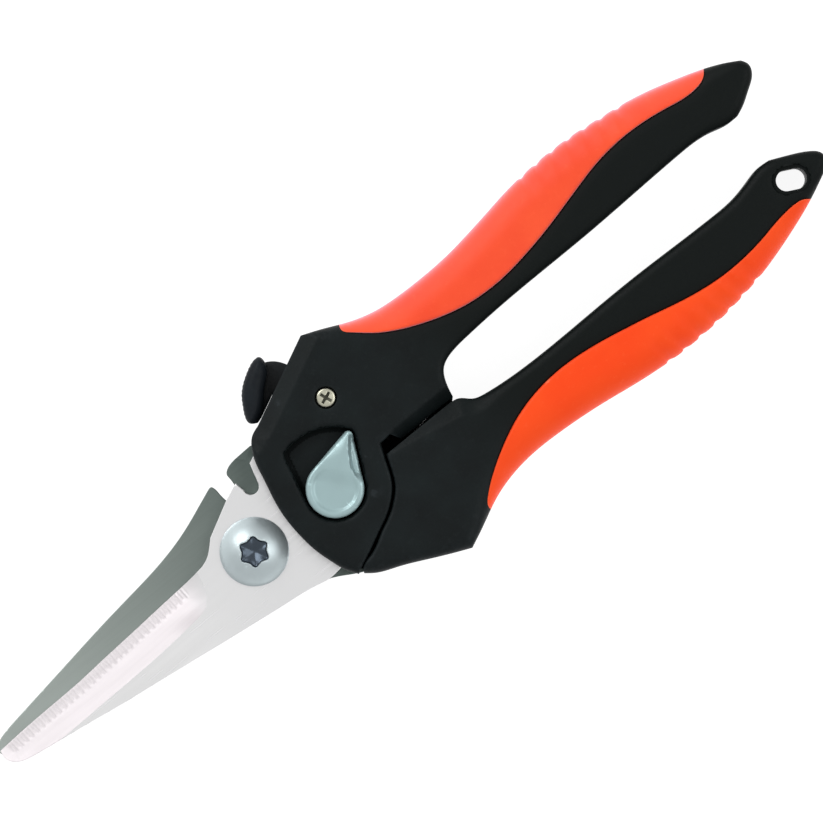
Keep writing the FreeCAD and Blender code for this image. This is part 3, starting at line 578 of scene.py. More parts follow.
def rib(u, w=0.42):
    """Depth of the finger ribs' grooves at a place along the handle, 0 to 1."""
    d = np.asarray(u)[:, None] - RIBS[None]
    d = d[np.arange(len(d)), np.abs(d).argmin(1)]
    # steep on the side towards the pivot, long on the other
    return np.exp(-(d / np.where(d < 0, w, 2.4 * w)) ** 2)


def ripple(curve, sign, depth=0.36):
    out = curve.copy()
    out[:, 1] -= sign * depth * rib(curve[:, 0])
    return out


# the radius of the handles' outer rounding changes along them
def r_outer(u):
    return ramp(u, (34.6, 1.9), (38.5, 2.6), (42, 4.2), (50, 6.6), (118, 6.6), (127, 5.2),
                (132, 3.6), (136, 2.0), (139, 1.6))


def z_outer(u):
    return 0.80 * r_outer(u)


PAD_W = 0.30           # soft edge where the grip meets the shell


def pocket_outline():
    big, tip, d = 5.9 + 0.45, 1.0 + 0.45, 11.0
    half = math.asin((big - tip) / d)
    n = math.pi / 2 - half
    a = np.linspace(n, 2 * math.pi - n, 80)
    b = np.linspace(-n, n, 16)
    tear = np.vstack([np.column_stack([big * np.cos(a), big * np.sin(a)]),
                      np.column_stack([d + tip * np.cos(b), tip * np.sin(b)])])
    seg = np.vstack([line([tear[i], tear[(i + 1) % len(tear)]], 0.3)[:-1] for i in range(len(tear))])
    th = np.arctan2(seg[:, 1], seg[:, 0])
    rr = np.hypot(seg[:, 0], seg[:, 1])
    o = np.argsort(th)
    th, rr = th[o], rr[o]
    th = np.concatenate([th - 2 * math.pi, th, th + 2 * math.pi])
    rr = np.tile(rr, 3)
    out = []
    for deg in np.arange(0, 360, 0.5):
        a = math.radians(deg)
        best = 0.0
        for k in np.linspace(0, LEVER_SWING, 34):
            w = (a - math.radians(LEVER_REST + k) + math.pi) % (2 * math.pi) - math.pi
            best = max(best, float(np.interp(w, th, rr)))
        out.append((LEVER[0] + best * math.cos(a), LEVER[1] + best * math.sin(a)))
    return even(shut(np.array(out)), 0.4)[:-1]


pocket = ring(pocket_outline())
well = circle(SCREW[0], SCREW[1], 2.26, 40)

SPRING_BOX = (43.2, 9.0, 3.9, -8.25, 7.3)      # x, z, radius, y from, y to
spring_room = ring(line([(39.3, -8.25), (47.1, -8.25), (47.1, 7.3), (39.3, 7.3), (39.3, -8.25)], 1.2))

cavity = ring(even(circle(0, 0, 27.2, 160)[:81], 0.8),
              [(-27.2, -0.5), (-5, -45), (42, -45), (42, -12)], [(42, -12), (33.6, -3.0), (27.4, 2.9)])
catch_room = ring([(16.2, 13.2), (15.6, 16.6), (17.2, 19.0), (20.5, 20.6), (21.7, 20.9),
                   (21.0, 33.0), (40.0, 33.0), (33.2, 25.4), (33.5, 20.6), (35.0, 19.4),
                   (35.0, 9.0), (36.3, 9.0), (36.3, 20.8), (35.0, 21.5), (33.6, 22.0),
                   (33.3, 25.2), (40.2, 33.2), (20.9, 33.2), (16.0, 16.6)][:10] +
                  [(36.3, 19.4), (36.3, 9.0), (34.4, 9.6), (30.7, 10.0), (27.2, 11.2), (24.5, 13.2)])
def dense(loop, step=0.3):
    return ring(line(shut(loop), step))


front_tang = ring(spline(FRONT_TANG, 0.8), line([(11.45, -13.5), (4.0, -13.5), (-5.2, 7.7), (2.15, 11.6),
                                                 (6.46, 13.4), (10.45, 14.43)], 0.8))
back_tang = ring([(26.2, 2.3)], spline(BACK_TANG[1:14], 0.8), [(8.2, -13.75), (15.0, -5.0)])


cavity, catch_room, front_tang, back_tang, spring_room = (
    dense(k) for k in (cavity, catch_room, front_tang, back_tang, spring_room))


def spring_z(p, sign):
    return PART_Z + sign * np.sqrt(np.maximum(SPRING_BOX[2] ** 2 - (p[:, 0] - SPRING_BOX[0]) ** 2, 0))


# ------------------------------------------------------------------ the upper handle's shells
def aside(curve, d, toward):
    """The curve moved sideways by d (a number, or one per point), to the side that holds a point."""
    t = np.gradient(curve, axis=0)
    t /= np.linalg.norm(t, axis=1)[:, None]
    n = np.column_stack([-t[:, 1], t[:, 0]])
    i = len(curve) // 2
    if (np.array(toward) - curve[i]) @ n[i] < 0:
        n = -n
    return curve + n * np.broadcast_to(d, len(curve))[:, None]


def run_in(curve, a, b):
    """0 at the first end of a curve rising to 1 over a mm, and back to 0 over b mm at the other."""
    s = np.concatenate([[0], np.cumsum(np.linalg.norm(np.diff(curve, axis=0), axis=1))])
    return np.clip(s / a, 0, 1) * np.clip((s[-1] - s) / b, 0, 1)


u_front_run = (u_gb[::-1] if np.linalg.norm(u_gb[-1] - u_before[-1]) < 1e-3 else u_gb)
bevel_edge = np.vstack([shoulder[:-1], top_edge])
hard_u = ring(nose, shoulder, top_edge, u_before, u_front_run, u_after, u_end, u_inner, u_gap, u_void, u_seam)
# the back shell reaches under the lower handle's front shell along the seam and the spring gap
seam_on = spline([(33.45, -1.85)] + HOUSING_SEAM[2:], S)
lap_seam = aside(seam_on, 0.0, (40, -20))
lap_seam = aside(lap_seam, 0.78 * run_in(lap_seam, 1e-3, 2.6), (40, -20))
lap = np.vstack([line([(50.7, -0.9), (50.1, -1.5), (49.2, -1.85), lap_seam[0]], S)[:-1], lap_seam])
hard_ub = ring(nose, shoulder, top_edge, u_before, u_front_run, u_after, u_end, u_inner, lap)


def bevel_w(x):
    return ramp(x, (12.7, 1.3), (14.3, 2.3), (16.5, 3.1), (34.6, 3.1))


def upper_drop(p, back=False):
    x = p[:, 0]
    q_o = dist(p, u_outer)
    d = [fall(dist(p, nose), 1.7, 1.35),
         slope(dist(p, bevel_edge), bevel_w(x), 0.68 * bevel_w(x), 0.35),
         fall(q_o, r_outer(x), z_outer(x)),
         fall(dist(p, u_end), 1.9, 1.7),
         fall(dist(p, u_inner), ramp(x, (50, 1.2), (56, 1.9), (120, 1.9), (130, 2.2)),
              ramp(x, (50, 1.0), (56, 1.6), (130, 1.7))),
         fall(dist(p, u_gb), 0.55, 0.38) + 0.35 * np.exp(-(dist(p, u_gb) / 1.4) ** 2)]
    if not back:
        d.append(fall(dist(p, u_seam), 0.6, 0.6))
        d.append(fall(dist(p, u_void), 0.5, 0.4))
        d.append(slope(dist(p, u_gap), 2.6, 3.2))
        d.append(fall(dist(p, shut(pocket)), 1.15, 0.85) * (~inside(p, pocket)))
        d.append(fall(dist(p, shut(well)), 0.3, 0.25))
    else:
        d.append(fall(dist(p, lap), 0.8, 0.7))
    # a little crown across the broad face, and the small fall of the arm towards its end
    crown = 0.22 * (1 - smooth(q_o, 0, 11)) * smooth(x, 40, 60)
    return blend_drops(d) + crown


def free_upper(back):
    e = [(rails(nose, 1.7, extra=(2.4,)), 0.30),
         (rails(bevel_edge, bevel_w(bevel_edge[:, 0]), (12, 26, 42, 56, 66, 75, 83, 90, 97, 106)), 0.2),
         (rails(u_outer, r_outer(u_outer[:, 0]), extra=(7.2,)), 0.34),
         (rails(u_end, 1.9), 0.32), (rails(u_inner, 1.9, extra=(2.4,)), 0.34),
         (rails(lap if back else u_seam, 0.55, (20, 45, 68, 90), (0.9,)), 0.12),
         (rails(u_gb, 0.55, (20, 45, 68, 90), (0.9, 1.4, 2.0)), 0.13),
         (rails(u_void, 0.5, (25, 55, 90)), 0.13)]
    if back:
        return e[:-1]
    if not back:
        e.append((rails(u_gap, 0.6, (30, 90), (2.3, 2.55, 2.8, 3.2)), 0.2))
        e.append((rails(shut(pocket), 1.15, (16, 30, 44, 58, 74, 90), (1.4,)), 0.15))
        e.append((rails(shut(pocket), 0.95, (75, 90, 105)), 0.12))
        e.append((rails(shut(well), 0.3, (30, 60, 90)), 0.08))
    return e


def curves_upper(back):
    c = [shut(hard_ub if back else hard_u)]
    if not back:
        c += [shut(pocket), shut(well)]
    return c


LIP = 0.22            # small chamfer on both shells along the parting line


def lip(p, loop):
    q = dist(p, shut(loop))
    return np.maximum(LIP - q, 0)


def upper_front():
    free = pick(free_upper(False) + [(rails(shut(hard_u), 1.0, (), (0.22, 0.45)), 0.2),
                                     (grid(hard_u, 1.5), 1.0)], [hard_u], curves_upper(False))

    def top(p):
        z = HANDLE_TOP - upper_drop(p)
        floor = 14.4 + 0.35 * np.exp(-(dist(p, shut(pocket)) / 0.35) ** 2)
        return {0: z, 1: floor, 2: np.full(len(p), 15.9)}

    def bottom(p):
        z = PART_Z + 0.01 + lip(p, hard_u)
        return {0: z, 1: np.full(len(p), FRONT_Z1 + 0.02), 2: spring_z(p, 1) + 0.01,
                3: np.maximum(z, 9.3)}

    def tid(c):
        return np.where(inside(c, pocket), 1, np.where(inside(c, well), 2, 0))

    def bid(c):
        k = np.where(inside(c, cavity), 3, 0)
        k = np.where(inside(c, front_tang), 1, k)
        return np.where(inside(c, spring_room), 2, k)

    ob = slab("upper_cover_front", [hard_u], free, top, bottom,
              steps=[pocket, well, front_tang, cavity, spring_room], top_id=tid, bottom_id=bid)
    # the floor of the pocket is painted darker along its wall: painted shade in the recess
    mark(ob, lambda c: inside(c, pocket) & (dist(c, shut(pocket)) < 0.95), 1)
    return ob


SCREWS_U = [(59.0, 9.4), (112.0, 12.6)]
SCREWS_L = [(59.0, -8.2), (112.0, -10.6)]


def bores(spots, r, n=36):
    return [circle(x, y, r, n) for x, y in spots]


def upper_back():
    holes = bores(SCREWS_U, 2.38) + [circle(LEVER[0], LEVER[1], 2.85, 40)]
    e = free_upper(True)
    for h in holes:
        e.append((rails(shut(h), 0.35, (30, 60, 90)), 0.1))
    free = pick(e + [(grid(hard_ub, 1.8), 1.2)], [hard_ub], curves_upper(True) + [shut(h) for h in holes])

    def bottom(p):
        d = upper_drop(p, True)
        rim = sum(fall(dist(p, shut(h)), 0.35, 0.25) for h in holes)
        return {0: d + rim, 1: np.full(len(p), 2.32), 2: np.full(len(p), 2.95)}

    def top(p):
        z = PART_Z - 0.01 - lip(p, hard_ub)
        return {0: z, 1: np.minimum(z, 6.45), 2: spring_z(p, -1) - 0.01}

    def bid(c):
        k = np.zeros(len(c), int)
        for i, h in enumerate(holes):
            k = np.where(inside(c, h), 2 if i == 2 else 1, k)
        return k

    def tid(c):
        k = np.where(inside(c, cavity) | inside(c, catch_room), 1, 0)
        return np.where(inside(c, spring_room), 2, k)

    ob = slab("upper_cover_back", [hard_ub], free, top, bottom,
              steps=holes + [cavity, catch_room, spring_room], top_id=tid, bottom_id=bid)
    # the ledge under the seam and the spring gap is painted near-black: painted shade where it lies in the dark
    mark(ob, lambda c: ~inside(c, hard_u) & (c[:, 1] < 1.3) & (c[:, 0] < 50.0), 1)
    return ob


# ------------------------------------------------------------------ the lower handle's shells
hard_l = ring(l_seam, l_gap, l_inner, l_end, l_before,
              l_gb if np.linalg.norm(l_gb[0] - l_before[-1]) < 1e-3 else l_gb[::-1],
              l_after, l_corner)
l_back_seam = aside(l_seam, 0.66 * run_in(l_seam, 2.6, 1e-3), (40, -20))[:-1]
l_back_gap = line([l_back_seam[-1], (33.6, -2.3), (48.6, -2.3), (50.4, -2.05)], S)
l_back_inner = np.vstack([l_back_gap[-1:], l_inner[l_inner[:, 0] > 51.3]])
hard_lb = ring(l_back_seam, l_back_gap, l_back_inner, l_end, l_before,
               l_gb if np.linalg.norm(l_gb[0] - l_before[-1]) < 1e-3 else l_gb[::-1],
               l_after, l_corner)
hang_hole = stadium(*HANG)
hang_rim = stadium(HANG[0], HANG[1], HANG[2] + 1.4, HANG[3] + 1.4, HANG[4])


l_mouth = np.vstack([l_gap[:-1], l_inner])
l_back_mouth = np.vstack([l_back_gap[:-1], l_back_inner])


def r_mouth(u):
    return ramp(u, (33, 0.5), (40, 1.7), (49.6, 3.5), (54, 3.0), (62, 2.2), (120, 2.2), (130, 2.0))


def lower_drop(p, back=False):
    x = p[:, 0]
    q_o = dist(p, l_outer)
    w_in = r_mouth(x)
    mouth, seam = (l_back_mouth, l_back_seam) if back else (l_mouth, l_seam)
    q_m = dist(p, mouth)
    flat = 1 - smooth(x, 50, 60)
    d = [fall(dist(p, seam), 0.7, 0.6),
         flat * slope(q_m, w_in, 0.60 * w_in, 0.3) + (1 - flat) * fall(q_m, w_in, 0.78 * w_in),
         fall(q_m, 0.5, 0.35),
         fall(dist(p, l_end), 1.9, 1.7),
         fall(q_o, r_outer(x), z_outer(x)),
         fall(dist(p, l_corner), 2.6, 2.1),
         fall(dist(p, l_gb), 0.55, 0.38) + 0.35 * np.exp(-(dist(p, l_gb) / 1.4) ** 2)]
    q_h = dist(p, shut(hang_rim))
    d.append(fall(q_h, 0.45, 0.35) * (~inside(p, hang_rim)))
    crown = 0.22 * (1 - smooth(q_o, 0, 11)) * smooth(x, 40, 60)
    return blend_drops(d) + crown


def free_lower(back):
    mouth, seam = (l_back_mouth, l_back_seam) if back else (l_mouth, l_seam)
    return [(rails(seam, 0.75, (20, 45, 68, 90), (1.1,)), 0.14),
            (rails(mouth, r_mouth(mouth[:, 0]), (14, 28, 42, 56, 70, 82, 87, 93, 99)), 0.24),
            (rails(l_end, 1.9), 0.32),
            (rails(l_outer, r_outer(l_outer[:, 0]), extra=(7.2,)), 0.34),
            (rails(l_corner, 2.6), 0.36),
            (rails(l_gb, 0.55, (20, 45, 68, 90), (0.9, 1.4, 2.0)), 0.13),
            (rails(shut(hang_rim), 0.45, (25, 55, 90)), 0.12)]


def lower_half(name, back):
    holes = bores(SCREWS_L, 2.38) if back else []
    e = free_lower(back)
    edge = hard_lb if back else hard_l
    for h in holes:
        e.append((rails(shut(h), 0.35, (30, 60, 90)), 0.1))
    lines = [shut(edge), shut(hang_rim), shut(hang_hole)] + [shut(h) for h in holes]
    free = pick(e + [(rails(shut(edge), 1.0, (), (0.22, 0.45)), 0.2), (grid(edge, 1.5), 1.0)],
                [edge, hang_hole], lines)

    def outer(p):
        d = lower_drop(p, back)
        rim = sum([fall(dist(p, shut(h)), 0.35, 0.25) for h in holes]) if holes else 0
        return d + rim

    def tang_side(p):
        z = 0.01 + lip(p, edge)
        return {0: z, 1: np.full(len(p), 2.47), 2: np.sqrt(np.maximum(
            SPRING_BOX[2] ** 2 - (p[:, 0] - SPRING_BOX[0]) ** 2, 0)) + 0.01}

    def oid(c):
        k = np.where(inside(c, hang_rim), 3, 0)
        for h in holes:
            k = np.where(inside(c, h), 1, k)
        return k

    def rid(c):
        k = np.zeros(len(c), int)
        if back:
            k = np.where(inside(c, back_tang), 1, 0)
        return np.where(inside(c, spring_room), 2, k)

    steps = [hang_rim] + holes + [spring_room] + ([back_tang] if back else [])
    if back:
        return slab(name, [edge, hang_hole], free,
                    lambda p: {k: PART_Z - z for k, z in tang_side(p).items()},
                    lambda p: {0: outer(p), 1: np.full(len(p), 2.32), 3: np.full(len(p), 0.9)},
                    steps=steps, top_id=rid, bottom_id=oid)
    return slab(name, [hard_l, hang_hole], free,
                lambda p: {0: HANDLE_TOP - outer(p), 3: np.full(len(p), HANDLE_TOP - 0.9)},
                lambda p: {k: PART_Z + z for k, z in tang_side(p).items()},
                steps=steps, top_id=oid, bottom_id=rid)


# ------------------------------------------------------------------ soft grips
def grip(name, outer_full, go, gb, sign, reach_mm=5.4, cut=0.34):
    edge = ripple(go, sign)
    full = ripple(outer_full, sign)
    loop = ring(edge, gb[::-1] if np.linalg.norm(gb[-1] - go[-1]) < np.linalg.norm(gb[0] - go[-1]) else gb)
    rim = gb
    fine = even(full, 0.3)
    zone = fine[(fine[:, 0] > 85) & (fine[:, 0] < 117)]
    free = pick([(rails(rim, 0.7, (16, 34, 52, 70, 90), (1.0, 1.5)), 0.14),
                 (rails(zone, 6.6, (8, 16, 24, 32, 41, 50, 60, 70, 80, 90)), 0.26),
                 (rails(full, r_outer(full[:, 0]), (8, 17, 27, 38, 50, 62, 75, 90), (7.5,)), 0.42),
                 (grid(loop, 0.8), 0.55)], [loop], [shut(loop)])

    def drop(p):
        x = p[:, 0]
        s, q = along(p, full)
        d = blend_drops([fall(q, r_outer(x), z_outer(x)), fall(dist(p, rim), 0.75, 0.62)])
        crown = 0.30 * (1 - smooth(q, 2, 13))
        reach = 1 - smooth(q, reach_mm * 0.35, reach_mm)
        return d + crown + cut * rib(x, 0.36) * reach * smooth(q, 0.0, 0.7)

    def top(p):
        return {0: GRIP_TOP - 0.02 - drop(p)}

    def bottom(p):
        return {0: 0.02 + drop(p)}

    return slab(name, [loop], free, top, bottom, sharp=50)


# ------------------------------------------------------------------ blades
TOOTH = 0.74         # pitch of the serration


def front_blade():
    edge = even(spline(FRONT_EDGE[1:], 0.2), TOOTH / 4)
    tip = ring([(-65.35, -0.1)], [(-65.1, 1.0)])
    heel = spline(FRONT_HEEL, 0.3)
    a0 = math.atan2(10.95 - 10.57, 6.1 - 7.66)
    a1 = math.atan2(10.1 - 10.57, 9.2 - 7.66) + 2 * math.pi
    th = np.linspace(a0, a1, 26)
    notch = np.vstack([line([(5.665, 13.068), (6.1, 10.95)], 0.5),
                       np.column_stack([7.66 + 1.6 * np.cos(th), 10.57 + 1.6 * np.sin(th)]),
                       line([(9.2, 10.1), (10.40, 14.3)], 0.5)])
    tang = spline(FRONT_TANG, 0.9)
    back = spline(FRONT_BACK, 0.6)
    nose_tip = spline(FRONT_TIP, 0.3)
    loop = ring(nose_tip[:-1], [(-65.35, -0.1)], edge, heel, line([(-5.2, 7.7), (2.15, 11.6), (5.665, 13.068)], 0.6),
                notch, [(10.45, 14.43)], tang, back)
    hole = circle(0, 0, 4.0, 48)
    hole2 = circle(LEVER[0], LEVER[1], 2.5, 32)
    # the bevel runs out softly towards the heel
    heel_end = spline([(-11.6, 4.6), (-11.9, 2.4), (-12.5, 0.3), (-13.5, -1.6), (-15.4, -2.9), (-17.8, -3.4)], 0.4)
    main = spline([(-17.8, -3.4), (-26.0, -4.05), (-34.0, -4.4), (-42.0, -4.6), (-50.0, -4.8), (-58.0, -5.0)], 0.6)
    crease = np.vstack([heel_end[:-1], main])
    region = ring(crease, [(-70.0, -5.2), (-70.0, 12.0), (-11.6, 12.0)])

    beyond = np.vstack([main, [(-72.0, -5.35)]])

    def grind(p):
        w = dist(p, beyond)
        left = dist(p, heel_end)
        start = float(smooth(0.0, -2.2, 6.5))
        cut = 1.95 * w / 6.65 * np.clip((smooth(left, -2.2, 6.5) - start) / (1 - start), 0, 1)
        return np.where(inside(p, region), np.clip(cut, 0, 2.1), 0.0)

    t = np.gradient(edge, axis=0)
    t /= np.linalg.norm(t, axis=1)[:, None]
    inn = np.column_stack([t[:, 1], -t[:, 0]])
    if inn[len(inn) // 2, 1] > 0:
        inn = -inn
    ds = np.concatenate([[0], np.cumsum(np.linalg.norm(np.diff(edge, axis=0), axis=1))])
    sel = (edge[:, 0] < -15.0) & (edge[:, 0] > -63.6)
    cols = [edge[sel] + inn[sel] * q for q in (0.16, 0.7, 1.3, 1.8, 2.25, 2.7)]

    def teeth(p):
        s, q = along(p, edge)
        phase = (s / TOOTH) % 1.0
        groove = np.clip(1 - np.abs(phase - 0.5) / 0.45, 0, 1)
        # every second groove is longer and deeper
        long = (np.floor(s / TOOTH) % 2).astype(float)
        reach = 2.3 + 0.45 * long
        return (0.115 + 0.025 * long) * groove * (1 - smooth(q, reach - 0.5, reach)) * smooth(p[:, 0], -64.2, -63.4) * (
            1 - smooth(p[:, 0], -16.4, -15.4)) * smooth(q, -0.2, 0.3)

    free = pick([(np.vstack(cols), 0.09), (rails(crease, 0.5, (60, 90), (0.9, 1.8, 2.7, 3.6)), 0.3),
                 (rails(loop, 0.12, (90,)), 0.11),
                 (grid(loop, 1.7), 1.1)], [loop, hole, hole2],
                [shut(loop), crease, shut(hole), shut(hole2)], clear=0.07)

    def top(p):
        q = dist(p, shut(loop))
        rim = np.maximum(0.12 - q, 0)
        z = FRONT_Z1 - rim - grind(p) - teeth(p)
        return {0: np.maximum(z, FRONT_Z0 + 0.12)}

    def bottom(p):
        q = dist(p, shut(loop))
        return {0: FRONT_Z0 + np.maximum(0.1 - q, 0) * (p[:, 0] > -8)}

    ob = slab("front_cutting_blade", [loop, hole, hole2], free, top, bottom, creases=[crease], sharp=7.0)
    mark(ob, lambda c: inside(c, region), 1)
    return ob


def polar(r, deg):
    return (r * math.cos(math.radians(deg)), r * math.sin(math.radians(deg)))


def arc(r, a0, a1, step=0.5):
    n = max(2, int(abs(math.radians(a1 - a0)) * r / step))
    return np.array([polar(r, a0 + (a1 - a0) * i / n) for i in range(n + 1)])


def back_blade():
    spine = spline(BACK_SPINE, 0.4)
    lobe = np.vstack([spline([(0.9, 15.65), (1.35, 15.55), (1.62, 15.1), (1.8, 13.3), (1.97, 11.7)], 0.2),
                      spline([(1.97, 11.7), (2.15, 10.5), (2.8, 9.75), (3.5, 10.0), (4.3, 11.2), (5.3, 13.0)], 0.2)[1:],
                      spline([(5.3, 13.0), (5.35, 14.6), (5.41, 15.6), (5.9, 16.15), (8.6, 16.95)], 0.3)[1:]])
    loop = ring(spine, lobe, arc(21.3, 53.44, 35.0), arc(26.3, 30.0, 5.02),
                spline(BACK_TANG, 0.9)[2:], spline(BACK_EDGE, 0.6))
    hole = circle(0, 0, 4.05, 48)
    a = [(20.604 * math.cos(math.radians(t)), 20.604 * math.sin(math.radians(t)))
         for t in np.linspace(-1.61, 24.39, 14)]
    outer_arc = [polar(20.604 + 2.35, t) for t in np.linspace(-1.61, 24.39, 14)]
    inner_arc = [polar(20.604 - 2.35, t) for t in np.linspace(24.39, -1.61, 14)]
    end1 = [(polar(20.604, 24.39)[0] + 2.35 * math.cos(math.radians(24.39 + t)),
             polar(20.604, 24.39)[1] + 2.35 * math.sin(math.radians(24.39 + t))) for t in np.linspace(15, 165, 10)]
    end0 = [(polar(20.604, -1.61)[0] + 2.35 * math.cos(math.radians(-1.61 + t)),
             polar(20.604, -1.61)[1] + 2.35 * math.sin(math.radians(-1.61 + t))) for t in np.linspace(195, 345, 10)]
    cam_slot = ring(outer_arc, end1, inner_arc, end0)
    ground = ring([(-70, -6), (-70, 2.2), (-62, 4.2), (-40, 5.6), (-13.0, 5.6), (-10.5, 0.0), (-12.0, -6)])
    heel_line = line([(-62, 4.2), (-40, 5.6), (-13.0, 5.6), (-10.5, 0.0), (-12.0, -6)], 0.6)

    def grind(p):
        w = 5.6 - p[:, 1]
        cut = np.minimum(0.36 * w, 1.2 * dist(p, heel_line))
        return np.where(inside(p, ground), np.clip(cut, 0, 2.05), 0.0)

    free = pick([(rails(heel_line, 0.5, (90,), (1.0, 1.8)), 0.3), (rails(shut(loop), 0.14, (90,)), 0.13),
                 (grid(loop, 1.7), 1.1)], [loop, hole, cam_slot],
                [shut(loop), heel_line, shut(hole), shut(cam_slot)], clear=0.07)

    def top(p):
        return {0: BACK_Z1 - np.maximum(0.13 - dist(p, shut(loop)), 0)}

    def bottom(p):
        return {0: np.minimum(BACK_Z0 + np.maximum(0.1 - dist(p, shut(loop)), 0) * (p[:, 0] > -8) + grind(p),
                              BACK_Z1 - 0.2)}

    ob = slab("back_cutting_blade", [loop, hole, cam_slot], free, top, bottom, creases=[heel_line], sharp=7.0)
    # the back blade's tang past u 14.6 is painted near-black: painted shade where it shows through the seam
    mark(ob, lambda c: (c[:, 0] > 14.6) & (c[:, 1] < 4.0), 1)
    return ob


# ------------------------------------------------------------------ fasteners
def six_lobe(r_out, r_in, phase, n=84):
    t = np.arange(n) * 2 * math.pi / n
    c = np.cos(6 * (t - math.radians(phase)))
    m, a = (r_out + r_in) / 2, (r_out - r_in) / 2
    r = m + a * (c + 0.10 * np.cos(12 * (t - math.radians(phase))))
    return np.column_stack([r * np.cos(t), r * np.sin(t)])


def cross(x, y, arm, w, deg):
    """A cross recess with slightly rounded inner corners, as a closed line."""
    h = w / 2
    k = h * 1.5
    q = [(h, k), (h, arm), (-h, arm), (-h, k), (-k, h), (-arm, h), (-arm, -h), (-k, -h),
         (-h, -k), (-h, -arm), (h, -arm), (h, -k), (k, -h), (arm, -h), (arm, h), (k, h)]
    c, s = math.cos(math.radians(deg)), math.sin(math.radians(deg))
    p = np.array([(x + a * c - b * s, y + a * s + b * c) for a, b in q])
    return ring(line(shut(p), 0.12))


def rings_of(x, y, radii, step):
    return np.vstack([circle(x, y, r, max(8, int(2 * math.pi * r / step)), r) for r in radii])


def pivot_bolt():
    R, H = 7.0, 4.6
    z0 = FRONT_Z1
    dome = (R * R + (H - 0.9) ** 2) / (2 * (H - 0.9))
    loop = circle(0, 0, R, 120)
    socket = six_lobe(3.12, 2.50, 57.0)
    shoulder_r = circle(0, 0, 4.0, 64)
    thread = circle(0, 0, 3.0, 64)
    core = circle(0, 0, 2.5, 48)
    free = pick([(rails(shut(socket), 0.24, (25, 50, 72, 92), (0.5, 0.62, 0.8)), 0.05),
                 (rings_of(0, 0, [6.97, 6.9, 6.78, 6.6, 6.35, 6.0], 0.4), 0.06),
                 (rings_of(0, 0, [5.5, 5.0, 4.5, 3.7], 0.45), 0.25),
                 (rings_of(0, 0, [0.3, 0.6, 0.9, 1.2, 1.6], 0.3), 0.14)], [loop],
                [shut(loop), shut(socket), shut(shoulder_r), shut(thread), shut(core)])

    def top(p):
        r = np.hypot(p[:, 0], p[:, 1])
        z = z0 + H - dome + np.sqrt(np.maximum(dome ** 2 - r * r, 0))
        z -= fall(R - r, 0.32, 0.32)
        z -= fall(dist(p, shut(socket)), 0.24, 0.2) * (~inside(p, socket))
        q = dist(p, shut(socket))
        deep = np.minimum(0.15 + 2.2 * q, 0.48 + 0.60 * q)
        return {0: z, 1: z - deep}

    def bottom(p):
        r = np.hypot(p[:, 0], p[:, 1])
        end = 1.9 + np.maximum(r - 2.5, 0) * 0.9
        return {0: np.full(len(p), z0), 1: np.full(len(p), BACK_Z0 - 0.1), 2: end}

    ob = slab("domed_pivot_bolt", [loop], free, top, bottom, steps=[socket, shoulder_r, thread, core],
              sharp=38, top_id=lambda c: inside(c, socket).astype(int),
              bottom_id=lambda c: np.where(np.hypot(c[:, 0], c[:, 1]) < 3.0, 2,
                                           np.where(np.hypot(c[:, 0], c[:, 1]) < 4.0, 1, 0)))
    # the socket's faces get a dark zinc: painted shade in the recess
    mark(ob, lambda c: inside(c, socket), 1)
    return ob


def pivot_nut():
    af = 10.0
    hexa = ring(line(shut(np.array([polar(af / 2 / math.cos(math.radians(30)), 30 + 60 * k) for k in range(6)])), 0.45))
    hole = circle(0, 0, 3.0, 64)
    z0, z1 = 2.6, 5.9
    free = pick([(rings_of(0, 0, [3.25, 3.5, 4.0, 4.6, 4.85, 5.1, 5.4], 0.45), 0.12)], [hexa, hole],
                [shut(hexa), shut(hole)])

    def cham(p):
        r = np.hypot(p[:, 0], p[:, 1])
        return np.maximum(r - 4.75, 0) * 0.58 + np.maximum(3.4 - r, 0) * 0.8

    return slab("hex_pivot_nut", [hexa, hole], free, lambda p: {0: z1 - 0.3 * np.maximum(np.hypot(p[:, 0], p[:, 1]) - 4.9, 0)},
                lambda p: {0: z0 + cham(p)}, sharp=20)


